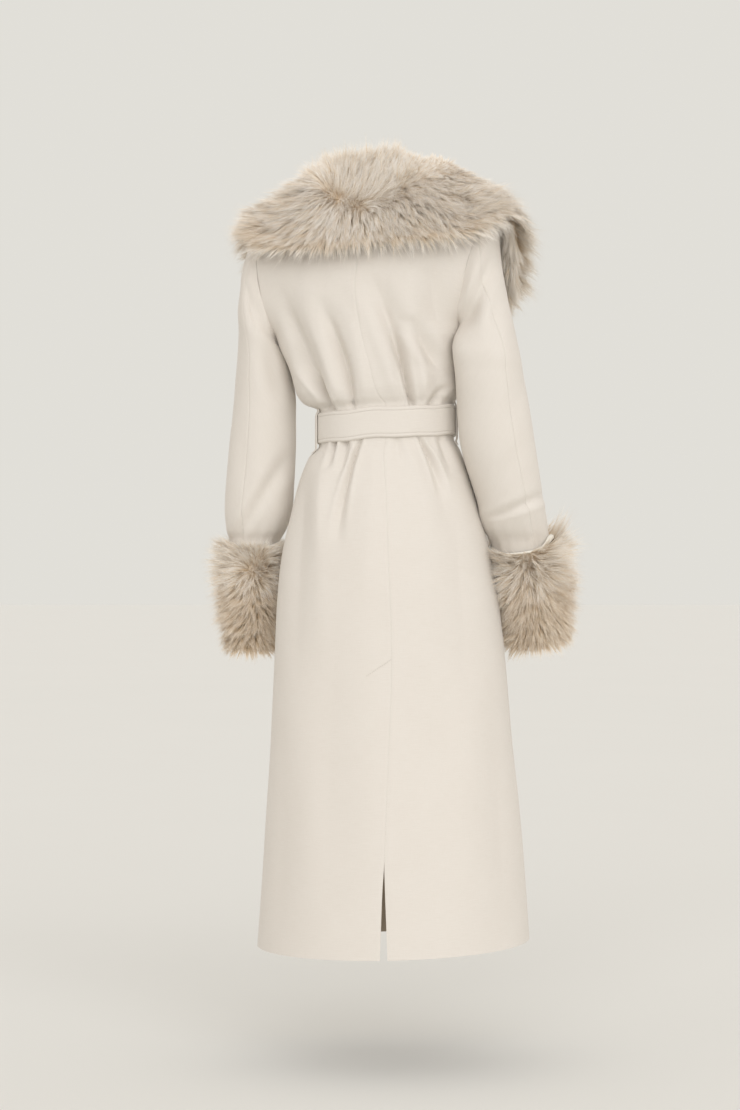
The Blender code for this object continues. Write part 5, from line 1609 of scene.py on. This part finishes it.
# The hair of a cuff from its top (0) to its bottom (1): its length, how far it lies down and its tint
CuffHair = namedtuple("CuffHair", "along length fall tint")
CUFF_HAIR = {
    "left": [
        CuffHair(0.00, 0.034, 0.00, 0.90),
        CuffHair(0.15, 0.039, 0.20, 0.80),
        CuffHair(0.32, 0.039, 0.50, 0.45),
        CuffHair(0.60, 0.037, 0.75, -0.15),
        CuffHair(0.82, 0.031, 0.95, -0.20),
        CuffHair(1.00, 0.022, 1.70, 0.05),
    ],
    "right": [
        CuffHair(0.00, 0.038, 0.00, 0.90),
        CuffHair(0.15, 0.047, 0.20, 0.75),
        CuffHair(0.32, 0.046, 0.50, 0.35),
        CuffHair(0.60, 0.040, 0.75, -0.15),
        CuffHair(0.82, 0.033, 0.95, -0.20),
        CuffHair(1.00, 0.028, 1.50, 0.05),
    ],
}
EDGE_ROLL, EDGE_OUT, EDGE_SIDES = 0.0024, 0.8, 10  # a cuff's satin roll: radius, how far out it is, and sides
SATIN_AT, SATIN_REACH = 0.40, 0.40  # turn from the outer side where the right cuff's satin shows, and how far
SATIN_WIDER, SATIN_RISE = 1.2, 0.010  # how much thicker the roll is there, and how far it stands up
SATIN_FREE = 0.5  # how much shorter the hair is there


def satin_shows(side, places):
    """How much of the satin edge is free of hair, round a cuff."""
    return np.exp(-(((places - SATIN_AT) / SATIN_REACH) ** 2)) * (side == "right")


def cuff_edge(side):
    """The satin that is rolled over the top edge of a cuff, as rings round it."""
    skin, axis = cuff_skin(side), cuff_axis(side)
    middle, out = skin.points[0, :-1], skin.out[0, :-1]
    angles = around(EDGE_SIDES)
    shows = satin_shows(side, skin.places[:-1])[:, None]
    roll = EDGE_ROLL * (1 + SATIN_WIDER * shows)
    middle = middle - axis * SATIN_RISE * shows + out * EDGE_ROLL * EDGE_OUT
    ring = [middle + roll * (out * math.cos(a) + axis * math.sin(a)) for a in angles]
    return np.moveaxis(np.array(ring), 0, 1)


def cuff_pelt(skin, side):
    """A cuff's pelt: its hair is swept up at the top of the sides and short against the coat."""
    puff, table = PUFFS[side], CUFF_HAIR[side]
    outwards, behind = np.cos(skin.places), np.sin(skin.places)
    high = (1 - smoothstep(0.0, PUFF_LOW, skin.along))[:, None]
    bare = satin_shows(side, skin.places)
    rise = puff.rise * mix(puff.behind, 1.0, outwards**2) * (1 - bare)
    fall = glide(table, "fall", skin.along)[:, None] - rise * high
    fan = -CUFF_SWEEP * np.sin(2 * skin.places)
    comb = cuff_axis(side) * fall[..., None] + unit(np.gradient(skin.points, axis=1)) * fan[None, :, None]
    free = 1 - CUFFS[side].flat * np.maximum(0, -outwards) ** puff.against
    length = glide(table, "length", skin.along)[:, None] * mix(AGAINST_LENGTH, 1.0, free)
    length = length + puff.longer * high * np.maximum(0, outwards)
    length = length * mix(puff.front, 1.0, smoothstep(*FRONT_SHORT, behind)) * (1 - SATIN_FREE * high * bare)
    tint = np.broadcast_to(glide(table, "tint", skin.along)[:, None], length.shape)
    share = np.broadcast_to(mix(CUFF_SHARE, 1.0, smoothstep(*FRONT_THIN, behind) * free), length.shape)
    return Pelt(skin.points + skin.out * SKIN_THICKNESS, comb, length, tint, share)


class COAT_OT_cuffs(bpy.types.Operator):
    """Makes the fur cuffs: their skins and the hair on them"""

    bl_idname = "coat.cuffs"
    bl_label = "Fur cuffs"

    def execute(self, context):
        settings = context.scene.coat_fur
        for side in SIDES:
            skin = cuff_skin(side)
            pelt = cuff_pelt(skin, side)
            backing = seat(shell(f"cuff_{side}_skin", pelt.points, skin.points, "undercoat", "wool"),
                           "fur", f"cuff_{side}")
            hair = grow(f"cuff_{side}_fur", pelt, side, settings.cuff_density, settings.width,
                        settings.seed + CUFF_SEED, CUFF_HABIT)
            seat(tube(f"cuff_{side}_edge", cuff_edge(side), "satin", closed=True), "wool")
        return {"FINISHED"}


# The stage

CAMERA_PLACE, CAMERA_LENS = (0.027, 4.4, -0.666), 79.26
FLOOR_REACH, FLOOR_CLOUDS, FLOOR_DARK = 40.0, 1.5, 0.985  # its half width, and how it varies
LAMP_COLOUR = (0.980, 1.0, 1.031)
Lamp = namedtuple("Lamp", "angle towards")  # how soft a lamp is, in degrees, and which way it shines
LAMPS = {"key": Lamp(70, (0.17, -0.95, -0.26)), "fill": Lamp(90, (0.25, 0.9, -0.55))}


class COAT_OT_stage(bpy.types.Operator):
    """Sets up the floor, the soft light and the camera"""

    bl_idname = "coat.stage"
    bl_label = "Stage"

    def execute(self, context):
        settings, scene = context.scene.coat_stage, context.scene
        mesh = bpy.data.meshes.new("floor")
        reach, low = FLOOR_REACH, settings.floor_height
        corners = [(x * reach, y * reach, low) for x, y in ((-1, -1), (1, -1), (1, 1), (-1, 1))]
        mesh.from_pydata(corners, [], [(0, 1, 2, 3)])
        made, nodes, shader = new_material("studio floor")
        soft = nodes.noise(nodes.node("ShaderNodeTexCoord").outputs["Object"], FLOOR_CLOUDS)
        stops = [(0.0, darker(settings.floor_colour, FLOOR_DARK)), (1.0, settings.floor_colour)]
        nodes.fill(shader, {
            "Base Color": ramp(nodes, soft, stops), "Roughness": 0.9, "Specular IOR Level": 0.1})
        mesh.materials.append(made)
        new_object("floor", mesh)
        world = bpy.data.worlds.new("studio")
        scene.world = world
        world.use_nodes = True
        sky, parts = Fields(world.node_tree), world.node_tree.nodes
        lit = sky.fill(parts["Background"], {"Color": (*settings.around, 1)})
        seen = sky.result("ShaderNodeBackground", {"Color": (*settings.backdrop, 1)})
        looking = sky.node("ShaderNodeLightPath").outputs["Is Camera Ray"]
        choice = sky.result("ShaderNodeMixShader", {0: looking, 1: lit.outputs[0], 2: seen})
        sky.fill(parts["World Output"], {"Surface": choice})
        for name, lamp in LAMPS.items():
            light = bpy.data.lights.new(name, "SUN")
            light.energy, light.color = getattr(settings, name), LAMP_COLOUR
            light.angle = math.radians(lamp.angle)
            hung = new_object(name, light)
            hung.rotation_mode = "QUATERNION"
            hung.rotation_quaternion = Vector(lamp.towards).to_track_quat("-Z", "Y")
        camera = new_object("camera", bpy.data.cameras.new("camera"))
        camera.data.lens = CAMERA_LENS
        camera.location = CAMERA_PLACE
        camera.rotation_euler = (math.pi / 2, 0, math.pi)
        scene.camera = camera
        scene.view_settings.view_transform = "Standard"
        return {"FINISHED"}


class COAT_PT_sidebar(bpy.types.Panel):
    """Lists the coat's pieces and what can be changed"""

    bl_idname = "COAT_PT_sidebar"
    bl_label = "Coat"
    bl_space_type = "VIEW_3D"
    bl_region_type = "UI"
    bl_category = "Coat"

    def draw(self, context):
        for name in GROUPS:
            group, box = getattr(context.scene, name), self.layout.box()
            for setting in group.__annotations__:
                box.prop(group, setting)
        for operator in OPERATORS:
            self.layout.operator(operator.bl_idname)


GROUPS = {"coat_wool": CoatWool, "coat_fur": CoatFur, "coat_stage": CoatStage}
OPERATORS = (COAT_OT_panels, COAT_OT_belt, COAT_OT_stitching, COAT_OT_collar, COAT_OT_cuffs, COAT_OT_stage)
CLASSES = (*GROUPS.values(), *OPERATORS, COAT_PT_sidebar)


def register():
    for cls in CLASSES:
        bpy.utils.register_class(cls)
    for name, group in GROUPS.items():
        setattr(bpy.types.Scene, name, PointerProperty(type=group))


def unregister():
    for name in GROUPS:
        delattr(bpy.types.Scene, name)
    for cls in reversed(CLASSES):
        bpy.utils.unregister_class(cls)


def main():
    register()
    bpy.ops.coat.panels()
    bpy.ops.coat.belt()
    bpy.ops.coat.stitching()
    bpy.ops.coat.collar()
    bpy.ops.coat.cuffs()
    bpy.ops.coat.stage()


if __name__ == "__main__":
    main()
